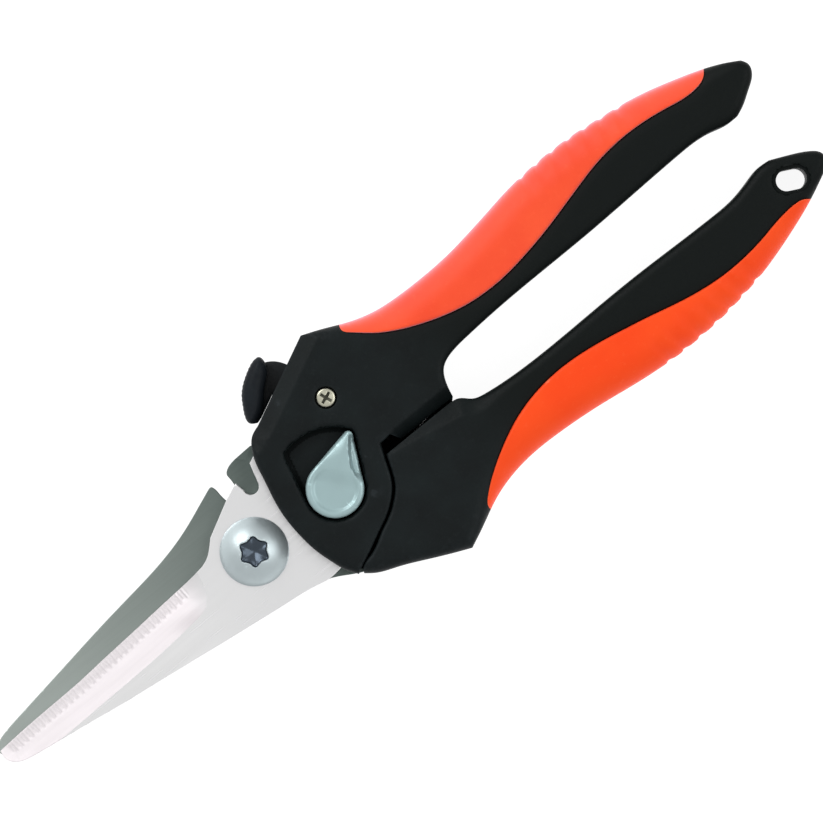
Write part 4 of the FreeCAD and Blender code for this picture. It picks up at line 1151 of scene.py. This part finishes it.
def screw(name, spots, r, h_head, z_face, facing, arm, w, shank, shank_end, deg=20.0, dome=0.22):
    """Pan-head screws with a cross recess. facing +1 looks up, -1 looks down."""
    made = []
    for n, (x, y) in enumerate(spots):
        loop = circle(x, y, r, 64)
        rec = cross(x, y, arm, w, deg + 27 * n)
        sh = circle(x, y, shank, 40)
        free = pick([(rails(shut(rec), 0.1, (50, 92)), 0.04),
                     (rings_of(x, y, [r - 0.03, r - 0.1, r - 0.22, r - 0.4, r * 0.7], 0.25), 0.04),
                     (rings_of(x, y, [r * 0.5, r * 0.25], 0.25), 0.1)],
                    [loop], [shut(loop), shut(rec), shut(sh)], clear=0.03)

        def face(p, x=x, y=y, rec=rec):
            q = np.hypot(p[:, 0] - x, p[:, 1] - y)
            d = fall(r - q, 0.4, 0.35) + dome * (q / r) ** 2
            d = d + fall(dist(p, shut(rec)), 0.1, 0.08) * (~inside(p, rec))
            pit = 0.95 - 0.45 * np.clip(q / arm, 0, 1) ** 1.5
            return {0: d, 1: pit + dome * (q / r) ** 2}

        def under(p, x=x, y=y):
            return {0: np.full(len(p), float(h_head)), 1: np.full(len(p), abs(z_face - shank_end))}

        def fid(c, rec=rec):
            return inside(c, rec).astype(int)

        def uid(c, sh=sh):
            return inside(c, sh).astype(int)

        if facing > 0:
            o = slab("%s_%d" % (name, n + 1), [loop], free, lambda p: {k: z_face - z for k, z in face(p).items()},
                     lambda p: {k: z_face - z for k, z in under(p).items()}, steps=[rec, sh], sharp=35,
                     top_id=fid, bottom_id=uid)
        else:
            o = slab("%s_%d" % (name, n + 1), [loop], free, lambda p: {k: z_face + z for k, z in under(p).items()},
                     lambda p: {k: z_face + z for k, z in face(p).items()}, steps=[rec, sh], sharp=35,
                     top_id=uid, bottom_id=fid)
        # the cross recess gets a dark material: painted shade in the recess
        mark(o, lambda c, rec=rec: inside(c, rec), facing)
        made.append(o)
    if len(made) == 1:
        made[0].name = name
        made[0].data.name = name
    return made


# ------------------------------------------------------------------ selector lever
def lever():
    big, tip, d = 5.9, 1.0, 11.0
    half = math.asin((big - tip) / d)
    n = math.pi / 2 - half
    a = np.linspace(n, 2 * math.pi - n, 110)
    b = np.linspace(-n, n, 22)
    # the flanks are a little hollow between the round end and the tip
    tear = np.vstack([np.column_stack([big * np.cos(a), big * np.sin(a)])[:-1],
                      line([(big * math.cos(n), -big * math.sin(n)), (d + tip * math.cos(n), -tip * math.sin(n))], 0.3)[:-1],
                      np.column_stack([d + tip * np.cos(b), tip * np.sin(b)])[:-1],
                      line([(d + tip * math.cos(n), tip * math.sin(n)), (big * math.cos(n), big * math.sin(n))], 0.3)])
    c, s = math.cos(math.radians(LEVER_REST)), math.sin(math.radians(LEVER_REST))

    def place(q):
        q = np.asarray(q, float)
        return np.column_stack([LEVER[0] + q[:, 0] * c - q[:, 1] * s, LEVER[1] + q[:, 0] * s + q[:, 1] * c])

    def local(p):
        x, y = p[:, 0] - LEVER[0], p[:, 1] - LEVER[1]
        return np.column_stack([x * c + y * s, -x * s + y * c])

    loop = ring(place(tear))
    shaft = circle(LEVER[0], LEVER[1], 2.4, 40)
    bore = circle(LEVER[0], LEVER[1], 1.0, 24)
    free = pick([(rails(shut(loop), 0.75, (12, 26, 42, 58, 75, 92), (1.1,)), 0.07),
                 (rails(shut(loop), 1.75, (50, 58, 66, 74, 82, 90), (1.95,)), 0.1),
                 (place(rings_of(0, 0, [4.95, 4.75, 4.55, 4.35, 4.1, 3.9], 0.35)), 0.1),
                 (grid(loop, 0.42), 0.28)], [loop], [shut(loop), shut(shaft), shut(bore)])

    def top(p):
        q = local(p)
        rho = np.hypot(q[:, 0], q[:, 1])
        edge = dist(p, shut(loop))
        d = fall(edge, 0.75, 0.7)
        # dished round end with a raised rim
        dish = 0.42 * (1 - smooth(rho, 4.0, 4.9)) * (1 - smooth(q[:, 0], 0.5, 4.2))
        # the neck falls away softly on one side and has a finger step on the other
        w = np.interp(q[:, 0], [2.0, 5.0, 8.0, 11.0, 12.0], [6.0, 4.3, 2.9, 1.5, 0.9])
        soft = 0.75 * smooth(q[:, 0], 3.2, 7.5) * np.clip((q[:, 1] - 0.1) / w, 0, 1) ** 1.3
        wide = np.interp(q[:, 0], [3.0, 5.0, 7.5, 10.0, 11.5], [1.0, 1.75, 1.55, 1.1, 0.8])
        step = 1.3 * (1 - smooth(edge, wide - 0.45, wide + 0.25)) * smooth(q[:, 0], 2.4, 4.4) * (
            1 - smooth(q[:, 0], 10.6, 11.8)) * smooth(-q[:, 1], -0.1, 0.35)
        run = 0.35 * smooth(q[:, 0], 6.5, 12)
        return {0: 18.2 - np.sqrt(d * d + 1e-9) - dish - soft * smooth(rho, 4.5, 5.6) - step - run}

    def bottom(p):
        return {0: np.full(len(p), 14.6), 1: np.full(len(p), PART_Z), 2: np.full(len(p), 13.0)}

    return slab("teardrop_lever", [loop], free, top, bottom, steps=[shaft, bore], sharp=40,
                bottom_id=lambda cc: np.where(np.hypot(cc[:, 0] - LEVER[0], cc[:, 1] - LEVER[1]) < 1.0, 2,
                                              np.where(np.hypot(cc[:, 0] - LEVER[0], cc[:, 1] - LEVER[1]) < 2.4, 1, 0)))


# ------------------------------------------------------------------ thumb catch
def catch_pad():
    # the inner edge leaves the housing's shoulder clear
    inner = [(22.0, 24.0), (20.05, 21.75), (18.6, 20.5), (17.6, 19.95)]
    base = spline(CATCH_PAD[:11] + inner + [CATCH_PAD[0]], 0.18)
    outer_n = int(np.argmin(np.linalg.norm(base - np.array(CATCH_PAD[9]), axis=1)))
    s = np.concatenate([[0], np.cumsum(np.linalg.norm(np.diff(base, axis=0), axis=1))])
    t = np.gradient(base, axis=0)
    t /= np.linalg.norm(t, axis=1)[:, None]
    n = np.column_stack([-t[:, 1], t[:, 0]])
    mid = base.mean(0)
    if np.mean(((mid - base) * n).sum(1)) < 0:
        n = -n
    on = smooth(s, 2.2, 3.4) * (1 - smooth(s, s[outer_n] - 2.2, s[outer_n] - 1.0))
    loop = base + n * (0.07 * on * (0.5 - 0.5 * np.cos(2 * math.pi * s / 0.95)))[:, None]
    loop = ring(loop)
    free = pick([(rails(shut(loop), 2.2, (10, 20, 30, 40, 52, 64, 77, 90)), 0.16), (grid(loop, 0.6), 0.35)],
                [loop], [shut(loop)])

    def drop(p):
        return fall(dist(p, shut(loop)), 2.3, 2.0)

    return slab("thumb_catch_pad", [loop], free, lambda p: {0: 13.4 - drop(p)}, lambda p: {0: 3.6 + drop(p)}, sharp=40)


def catch_arm():
    root = [CATCH_ARM[0], (17.05, 15.55), (17.95, 16.55), (20.6, 17.35), (24.4, 19.4)]
    web = [(24.4, 19.4), (23.2, 22.3), (22.6, 22.27), (20.2, 21.12), (18.0, 20.06), (17.6, 20.9), (20.5, 24.5),
           (21.4, 27.3)]
    rest = CATCH_ARM[7:] + [CATCH_ARM[0]]
    loop = ring(spline(root, 0.35)[:-1], line(web, 0.35), spline(rest, 0.35))
    hole = circle(SCREW[0], SCREW[1], 2.45, 40)
    free = pick([(rails(shut(loop), 0.3, (40, 90)), 0.12), (grid(loop, 1.0), 0.6)], [loop, hole],
                [shut(loop), shut(hole)])

    def drop(p):
        return fall(dist(p, shut(loop)), 0.3, 0.3)

    return slab("thumb_catch_arm", [loop, hole], free, lambda p: {0: 8.75 - drop(p)}, lambda p: {0: 6.75 + drop(p)})


# ------------------------------------------------------------------ opening spring
def opening_spring():
    turns, r, wire = 8, 2.9, 0.5
    y0, y1 = -8.2 + wire, 7.2 - wire
    n, m = turns * 28 + 1, 10
    verts, faces = [], []
    for i in range(n):
        f = i / (n - 1)
        a = 2 * math.pi * turns * f
        # closed end coils
        g = np.interp(f, [0, 1 / turns, 1 - 1 / turns, 1], [0, 0.062, 0.938, 1])
        c = np.array([43.2 + r * math.cos(a), y0 + (y1 - y0) * g, 9.0 + r * math.sin(a)])
        rad = np.array([math.cos(a), 0, math.sin(a)])
        for k in range(m):
            b = 2 * math.pi * k / m
            verts.append(c + wire * (math.cos(b) * rad + math.sin(b) * np.array([0, 1.0, 0])))
    for i in range(n - 1):
        for k in range(m):
            a, b = i * m + k, i * m + (k + 1) % m
            faces.append((a, b, b + m, a + m))
    faces.append(tuple(range(m))[::-1])
    faces.append(tuple((n - 1) * m + k for k in range(m)))
    v = np.array(verts)
    v[:, :2] += SHIFT
    me = bpy.data.meshes.new("coil_spring")
    me.from_pydata((v * MM).tolist(), [], faces)
    me.update()
    import bmesh
    bm = bmesh.new()
    bm.from_mesh(me)
    bmesh.ops.recalc_face_normals(bm, faces=bm.faces)
    bm.to_mesh(me)
    bm.free()
    return finish_mesh("coil_spring", me, 50)


# ------------------------------------------------------------------ materials
class Mat:
    def __init__(self, name):
        self.m = bpy.data.materials.new(name)
        self.m.use_nodes = True
        self.t = self.m.node_tree
        self.b = self.t.nodes["Principled BSDF"]
        self.co = self.t.nodes.new("ShaderNodeTexCoord").outputs["Object"]

    def set(self, **kw):
        for k, v in kw.items():
            self.b.inputs[k.replace("_", " ")].default_value = v
        return self

    def node(self, kind, **kw):
        n = self.t.nodes.new(kind)
        for k, v in kw.items():
            setattr(n, k, v)
        return n

    def link(self, a, b):
        self.t.links.new(a, b)

    def noise(self, size_mm, detail=2.0, rough=0.5, stretch=None, rot=0.0, kind="ShaderNodeTexNoise"):
        n = self.node(kind)
        src = self.co
        if stretch:
            mp = self.node("ShaderNodeMapping")
            mp.inputs["Rotation"].default_value = (0, 0, rot)
            mp.inputs["Scale"].default_value = stretch
            self.link(self.co, mp.inputs["Vector"])
            src = mp.outputs["Vector"]
        self.link(src, n.inputs["Vector"])
        n.inputs["Scale"].default_value = 1000.0 / size_mm
        if kind == "ShaderNodeTexNoise":
            n.inputs["Detail"].default_value = detail
            n.inputs["Roughness"].default_value = rough
        return n

    def ramp(self, src, lo, hi, a, b):
        n = self.node("ShaderNodeMapRange")
        n.inputs["From Min"].default_value = lo
        n.inputs["From Max"].default_value = hi
        n.inputs["To Min"].default_value = a
        n.inputs["To Max"].default_value = b
        self.link(src, n.inputs["Value"])
        return n.outputs["Result"]

    def mix(self, fac, a, b):
        n = self.node("ShaderNodeMix", data_type="RGBA")
        self.link(fac, n.inputs[0])
        for s, v in ((6, a), (7, b)):
            if hasattr(v, "is_linked") or hasattr(v, "links"):
                self.link(v, n.inputs[s])
            else:
                n.inputs[s].default_value = (*v, 1.0)
        return n.outputs[2]

    def edge(self, lo=0.52, hi=0.60):
        g = self.node("ShaderNodeNewGeometry")
        return self.ramp(g.outputs["Pointiness"], lo, hi, 0.0, 1.0)

    def times(self, a, b):
        n = self.node("ShaderNodeMath", operation="MULTIPLY")
        self.link(a, n.inputs[0])
        self.link(b, n.inputs[1])
        return n.outputs[0]

    def bump(self, *layers):
        """layers: (height socket, strength, distance mm)"""
        last = None
        for h, strength, d in layers:
            n = self.node("ShaderNodeBump")
            n.inputs["Strength"].default_value = strength
            n.inputs["Distance"].default_value = d * MM
            self.link(h, n.inputs["Height"])
            if last is not None:
                self.link(last, n.inputs["Normal"])
            last = n.outputs["Normal"]
        self.link(last, self.b.inputs["Normal"])
        return self


def srgb(r, g, b):
    f = lambda c: (c / 255 / 12.92) if c / 255 <= 0.04045 else ((c / 255 + 0.055) / 1.055) ** 2.4
    return (f(r), f(g), f(b))


def black_plastic(name, base=(15, 20, 21), worn=(42, 48, 51), shine=0.15, arms=None):
    k = Mat(name)
    k.set(Roughness=0.5, IOR=1.45)
    k.b.inputs["Specular IOR Level"].default_value = shine
    grain = k.noise(0.34, 3.0, 0.6)
    cloud = k.noise(9.0, 3.0, 0.55)
    speck = k.noise(0.9, 2.0, 0.5)
    c = k.mix(k.ramp(cloud.outputs["Fac"], 0.35, 0.7, 0, 1), srgb(*base), srgb(base[0] + 5, base[1] + 7, base[2] + 7))
    c = k.mix(k.ramp(speck.outputs["Fac"], 0.58, 0.78, 0, 0.35), c, srgb(30, 35, 36))
    c = k.mix(k.times(k.edge(0.51, 0.58), k.ramp(speck.outputs["Fac"], 0.4, 0.6, 0.15, 0.6)), c, srgb(*worn))
    if arms:
        # the long arms are coloured darker than the housing
        sep = k.node("ShaderNodeSeparateXYZ")
        k.link(k.co, sep.inputs[0])
        c = k.mix(k.ramp(sep.outputs["X"], (44 + SHIFT[0]) * MM, (62 + SHIFT[0]) * MM, 0.0, 1.0), c, srgb(*arms))
    k.link(c, k.b.inputs["Base Color"])
    k.link(k.ramp(grain.outputs["Fac"], 0.3, 0.7, 0.42, 0.60), k.b.inputs["Roughness"])
    return k.bump((cloud.outputs["Fac"], 0.10, 0.25), (grain.outputs["Fac"], 0.35, 0.05)).m


def soft_orange(name, sheen, deep, pale):
    k = Mat(name)
    k.set(IOR=1.45)
    k.b.inputs["Specular IOR Level"].default_value = 0.25
    k.b.inputs["Sheen Weight"].default_value = sheen
    k.b.inputs["Sheen Roughness"].default_value = 0.5
    k.b.inputs["Sheen Tint"].default_value = (1.0, 0.74, 0.98, 1.0)
    k.b.inputs["Subsurface Weight"].default_value = 0.0
    grain = k.noise(0.28, 3.0, 0.55)
    cloud = k.noise(14.0, 3.0, 0.5)
    speck = k.noise(1.1, 2.0, 0.5)
    c = k.mix(k.ramp(cloud.outputs["Fac"], 0.35, 0.68, 0, 1), deep, pale)
    c = k.mix(k.ramp(speck.outputs["Fac"], 0.6, 0.8, 0, 0.35), c, (1.0, 0.11, 0.025))
    c = k.mix(k.edge(0.53, 0.62), c, (1.0, 0.15, 0.05))
    k.link(c, k.b.inputs["Base Color"])
    k.link(k.ramp(grain.outputs["Fac"], 0.3, 0.7, 0.40, 0.56), k.b.inputs["Roughness"])
    return k.bump((cloud.outputs["Fac"], 0.06, 0.3), (grain.outputs["Fac"], 0.22, 0.04)).m


def ground_steel(name, base, rough=(0.3, 0.42), dirn=0.0, aniso=0.0, lines=0.22, pivot_shade=None, mid_mm=2.2, metal=1.0):
    k = Mat(name)
    k.set(Metallic=metal, Anisotropic=aniso)
    fine = k.noise(0.55, 3.0, 0.6, stretch=(0.035, 1.0, 1.0), rot=dirn)
    mid = k.noise(mid_mm, 2.0, 0.5, stretch=(0.05, 1.0, 1.0), rot=dirn)
    cloud = k.noise(13.0, 3.0, 0.55)
    lo = tuple(c * 0.93 for c in base)
    c = k.mix(k.ramp(mid.outputs["Fac"], 0.3, 0.7, 0, 1), lo, base)
    c = k.mix(k.ramp(cloud.outputs["Fac"], 0.4, 0.75, 0, 0.5), c, tuple(x * 0.9 for x in base))
    c = k.mix(k.times(k.edge(0.53, 0.62), k.ramp(cloud.outputs["Fac"], 0.3, 0.6, 0.3, 0.9)), c,
              tuple(min(1, x * 1.15) for x in base))
    if pivot_shade:
        # painted shade: the colour darkens from the tip towards the pivot, where the housing and handles shade the
        # steel
        sep = k.node("ShaderNodeSeparateXYZ")
        k.link(k.co, sep.inputs[0])
        u = k.ramp(sep.outputs["X"], (pivot_shade[0] + SHIFT[0]) * MM, (pivot_shade[1] + SHIFT[0]) * MM, 0.0, 1.0)
        c = k.mix(u, c, pivot_shade[2])
    k.link(c, k.b.inputs["Base Color"])
    k.link(k.ramp(fine.outputs["Fac"], 0.3, 0.7, rough[0], rough[1]), k.b.inputs["Roughness"])
    return k.bump((fine.outputs["Fac"], lines, 0.012), (cloud.outputs["Fac"], 0.05, 0.1)).m


def plated(name, base, rough=(0.22, 0.34), grain_mm=0.5, metal=1.0):
    k = Mat(name)
    k.set(Metallic=metal)
    grain = k.noise(grain_mm, 3.0, 0.6)
    cloud = k.noise(4.0, 3.0, 0.55)
    c = k.mix(k.ramp(cloud.outputs["Fac"], 0.35, 0.7, 0, 1), tuple(x * 0.93 for x in base), base)
    c = k.mix(k.edge(0.53, 0.63), c, tuple(min(1, x * 1.12) for x in base))
    k.link(c, k.b.inputs["Base Color"])
    k.link(k.ramp(grain.outputs["Fac"], 0.3, 0.7, rough[0], rough[1]), k.b.inputs["Roughness"])
    return k.bump((grain.outputs["Fac"], 0.10, 0.015)).m


def casting(name, base):
    k = Mat(name)
    k.set(Metallic=0.35, IOR=1.5)
    k.b.inputs["Coat Weight"].default_value = 0.10
    k.b.inputs["Coat Roughness"].default_value = 0.25
    grain = k.noise(0.42, 3.0, 0.6)
    cloud = k.noise(6.0, 2.0, 0.5)
    c = k.mix(k.ramp(cloud.outputs["Fac"], 0.35, 0.7, 0, 1), tuple(x * 0.94 for x in base), base)
    c = k.mix(k.edge(0.53, 0.62), c, tuple(min(1, x * 1.25) for x in base))
    k.link(c, k.b.inputs["Base Color"])
    k.link(k.ramp(grain.outputs["Fac"], 0.3, 0.7, 0.30, 0.44), k.b.inputs["Roughness"])
    return k.bump((grain.outputs["Fac"], 0.12, 0.02)).m


BLACK = black_plastic("black_plastic_grained", arms=(8, 14, 13))
PAD = black_plastic("catch_plastic_grained", base=(20, 24, 29))
ARM = black_plastic("catch_neck_blackened", base=(16, 19, 22), shine=0.3)
# painted sheen: the upper grip's copy has a strong pink sheen and the lower's almost none and a brighter base, a lit
# and a shaded copy of the one rubber
ORANGE_U = soft_orange("orange_grip_upper_lit_sheen", 0.95, (0.90, 0.060, 0.006), (0.95, 0.080, 0.012))
ORANGE_L = soft_orange("orange_grip_lower_shaded", 0.08, (0.97, 0.060, 0.001), (1.0, 0.076, 0.004))
# the front blade's flats and bevel are painted darker towards the pivot: painted shade
BRIGHT = ground_steel("bright_ground_steel", (0.90, 0.898, 0.90), (0.26, 0.38), dirn=math.radians(8), lines=0.22,
                      pivot_shade=(-24.0, -2.0, (0.81, 0.81, 0.815)))
BEVEL = ground_steel("bevel_ground_steel", (0.805, 0.760, 0.780), (0.50, 0.60), dirn=math.radians(92), lines=0.15,
                     mid_mm=1.1, pivot_shade=(-17.5, -12.0, (0.76, 0.76, 0.765)), metal=0.45)
# painted shade: a near-black copy of the plastic for the pocket's floor along its wall
SHADE = black_plastic("black_plastic_painted_shade", base=(7, 10, 10), worn=(16, 20, 20), shine=0.05)
# painted shade: a near-black copy of the plastic for faces that lie in shade
DEEP_SHADE = black_plastic("black_plastic_painted_deep_shade", base=(3, 4, 4), worn=(8, 10, 10), shine=0.02)
# the back blade is painted much darker towards the pivot and its lobe: painted shade
GREY = ground_steel("satin_grey_steel", (0.42, 0.465, 0.44), (0.42, 0.54), dirn=math.radians(-80), lines=0.18,
                    pivot_shade=(-55.0, 12.0, (0.12, 0.15, 0.138)))
ZINC = plated("zinc_plated", (0.62, 0.70, 0.71), (0.24, 0.34))
BOLT = plated("zinc_plated_bolt", (0.58, 0.66, 0.68), (0.36, 0.46), metal=0.72)
# painted shade: dark zinc for the inside of the bolt's socket
SOCKET_SHADE = plated("socket_painted_shade_zinc", (0.08, 0.10, 0.125), (0.26, 0.36))
RECESS_SHADE = plated("recess_painted_shade", (0.07, 0.07, 0.055), (0.35, 0.45))
NICKEL = plated("nickel_plated", (0.60, 0.59, 0.47), (0.26, 0.38), 0.4)
CAST = casting("lever_casting_pearl", srgb(160, 186, 188))
DARK = plated("dark_steel", (0.10, 0.10, 0.11), (0.4, 0.5))
SPRING = ground_steel("spring_wire", (0.52, 0.52, 0.52), (0.28, 0.4), lines=0.1)


def paint(ob, *mats):
    """The piece's materials; a second one goes on the faces that were marked."""
    keep = np.empty(len(ob.data.polygons), np.int32)
    ob.data.polygons.foreach_get("material_index", keep)
    ob.data.materials.clear()
    for m in mats:
        ob.data.materials.append(m)
    ob.data.polygons.foreach_set("material_index", np.minimum(keep, len(mats) - 1).astype(np.int32))
    return ob


def paint_node(name, mat):
    ob = nodes[name]
    for i in range(max(1, len(ob.material_slots))):
        if not ob.material_slots:
            ob.data.materials.append(mat)
        ob.material_slots[i].material = mat


def add(ob, mat, body, slot, *replaced):
    paint(ob, *(mat if isinstance(mat, tuple) else (mat,)))
    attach(ob, body)
    if replaced:
        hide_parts(*replaced)
    return ob


# ------------------------------------------------------------------ the object
add(upper_front(), (BLACK, SHADE), "upper_handle", "black_plastic", "upper_handle_front_shell")
add(upper_back(), (BLACK, DEEP_SHADE), "upper_handle", "black_plastic", "upper_handle_back_shell")
add(lower_half("lower_cover_front", False), BLACK, "lower_handle", "black_plastic", "lower_handle_front_shell")
add(lower_half("lower_cover_back", True), BLACK, "lower_handle", "black_plastic", "lower_handle_back_shell")
add(grip("upper_soft_grip", u_outer, u_go, u_gb, 1, 3.0, 0.22), ORANGE_U, "upper_handle", "orange_grip", "upper_grip")
add(grip("lower_soft_grip", l_outer, l_go, l_gb, -1, 5.6, 0.36), ORANGE_L, "lower_handle", "orange_grip", "lower_grip")
add(front_blade(), (BRIGHT, BEVEL), "upper_handle", "blade_steel_bright", "front_blade")
add(back_blade(), (GREY, DEEP_SHADE), "lower_handle", "blade_steel_grey", "back_blade")
add(pivot_bolt(), (BOLT, SOCKET_SHADE), "upper_handle", "zinc_plate", "pivot_bolt")
add(pivot_nut(), ZINC, "upper_handle", "zinc_plate", "pivot_nut")
add(lever(), CAST, "opening_lever", "lever_casting", "opening_lever")
add(catch_pad(), PAD, "lock_catch", "catch_plastic", "catch_pad")
add(catch_arm(), ARM, "lock_catch", "dark_steel", "catch_arm")
add(screw("small_housing_screw", [SCREW], 2.05, 1.45, 17.35, 1, 1.3, 0.55, 1.5, 3.0)[0], (NICKEL, RECESS_SHADE),
    "upper_handle", "nickel_plate", "housing_screw")
for o in screw("upper_back_screw", SCREWS_U, 2.25, 1.7, 0.6, -1, 1.45, 0.6, 1.25, 14.0):
    add(o, (NICKEL, RECESS_SHADE), "upper_handle", "nickel_plate", "upper_shell_screws")
for o in screw("lower_back_screw", SCREWS_L, 2.25, 1.7, 0.6, -1, 1.45, 0.6, 1.25, 14.0, deg=48):
    add(o, (NICKEL, RECESS_SHADE), "lower_handle", "nickel_plate", "lower_shell_screws")
add(screw("lever_back_screw", [LEVER], 2.65, 1.6, 0.8, -1, 1.6, 0.65, 1.0, 13.0, deg=33)[0], (NICKEL, RECESS_SHADE),
    "opening_lever", "nickel_plate", "lever_screw")
coil = opening_spring()
paint(coil, SPRING)
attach(coil, "upper_handle")
coil.parent = None
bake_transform(coil)
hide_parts("opening_spring")

for n_, m_ in (("pivot_washer", ZINC), ("lever_cam", DARK), ("lever_wave_washer", SPRING),
               ("catch_sleeve", DARK), ("catch_detent_spring", SPRING), ("upper_tang_pins", DARK),
               ("lower_tang_pins", DARK)):
    paint_node(n_, m_)

# ------------------------------------------------------------------ floor, light and camera
def plane(name, size, z):
    me = bpy.data.meshes.new(name)
    s = size / 2
    me.from_pydata([(-s, -s, z), (s, -s, z), (s, s, z), (-s, s, z)], [], [(0, 1, 2, 3)])
    ob = bpy.data.objects.new(name, me)
    bpy.context.scene.collection.objects.link(ob)
    return ob


floor = plane("floor", 6.0, -0.0002)
fm = Mat("pale_floor")
fm.set(Roughness=0.9)
fm.b.inputs["Specular IOR Level"].default_value = 0.1
fn = fm.noise(60.0, 3.0, 0.5)
fm.link(fm.mix(fn.outputs["Fac"], (0.30, 0.30, 0.30), (0.31, 0.31, 0.31)), fm.b.inputs["Base Color"])
fm.b.inputs["Emission Color"].default_value = (1.0, 1.0, 1.0, 1.0)
fm.b.inputs["Emission Strength"].default_value = 0.92
paint(floor, fm.m)

world = bpy.data.worlds.new("studio")
bpy.context.scene.world = world
world.use_nodes = True
world.node_tree.nodes["Background"].inputs["Color"].default_value = (1.0, 1.0, 1.0, 1.0)
world.node_tree.nodes["Background"].inputs["Strength"].default_value = 0.62

AIM = np.array([42.27 + SHIFT[0], 1.93 + SHIFT[1]]) * MM
RIGHT = Vector((math.cos(math.radians(-39)), math.sin(math.radians(-39)), 0))
UP = Vector((-RIGHT.y, RIGHT.x, 0))


def area(name, right, up, z, size, power, color=(1, 1, 1), aim=(0, 0)):
    li = bpy.data.lights.new(name, "AREA")
    li.shape = "RECTANGLE"
    li.size, li.size_y = size
    li.energy = power
    li.color = color
    ob = bpy.data.objects.new(name, li)
    bpy.context.scene.collection.objects.link(ob)
    ob.location = Vector((AIM[0], AIM[1], 0)) + RIGHT * right + UP * up + Vector((0, 0, z))
    target = Vector((AIM[0], AIM[1], 0)) + RIGHT * aim[0] + UP * aim[1]
    ob.rotation_euler = (target - ob.location).to_track_quat("-Z", "Y").to_euler()
    return ob


area("key", -0.85, 0.8, 0.95, (0.9, 0.9), 9.0)
area("fill", 0.9, 0.1, 1.1, (0.9, 0.9), 4.5)
area("overhead", 0.0, 0.0, 3.2, (1.6, 1.6), 2.2)

cam_data = bpy.data.cameras.new("camera")
cam = bpy.data.objects.new("camera", cam_data)
bpy.context.scene.collection.objects.link(cam)
DIST = 2.6
cam_data.sensor_width = 36.0
cam_data.lens = 36.0 * DIST / 0.1658
cam_data.clip_end = 20.0
cam.location = (AIM[0], AIM[1], DIST + 0.013)
cam.rotation_euler = (0, 0, math.radians(-39.0))
bpy.context.scene.camera = cam
bpy.context.scene.view_settings.view_transform = "Standard"
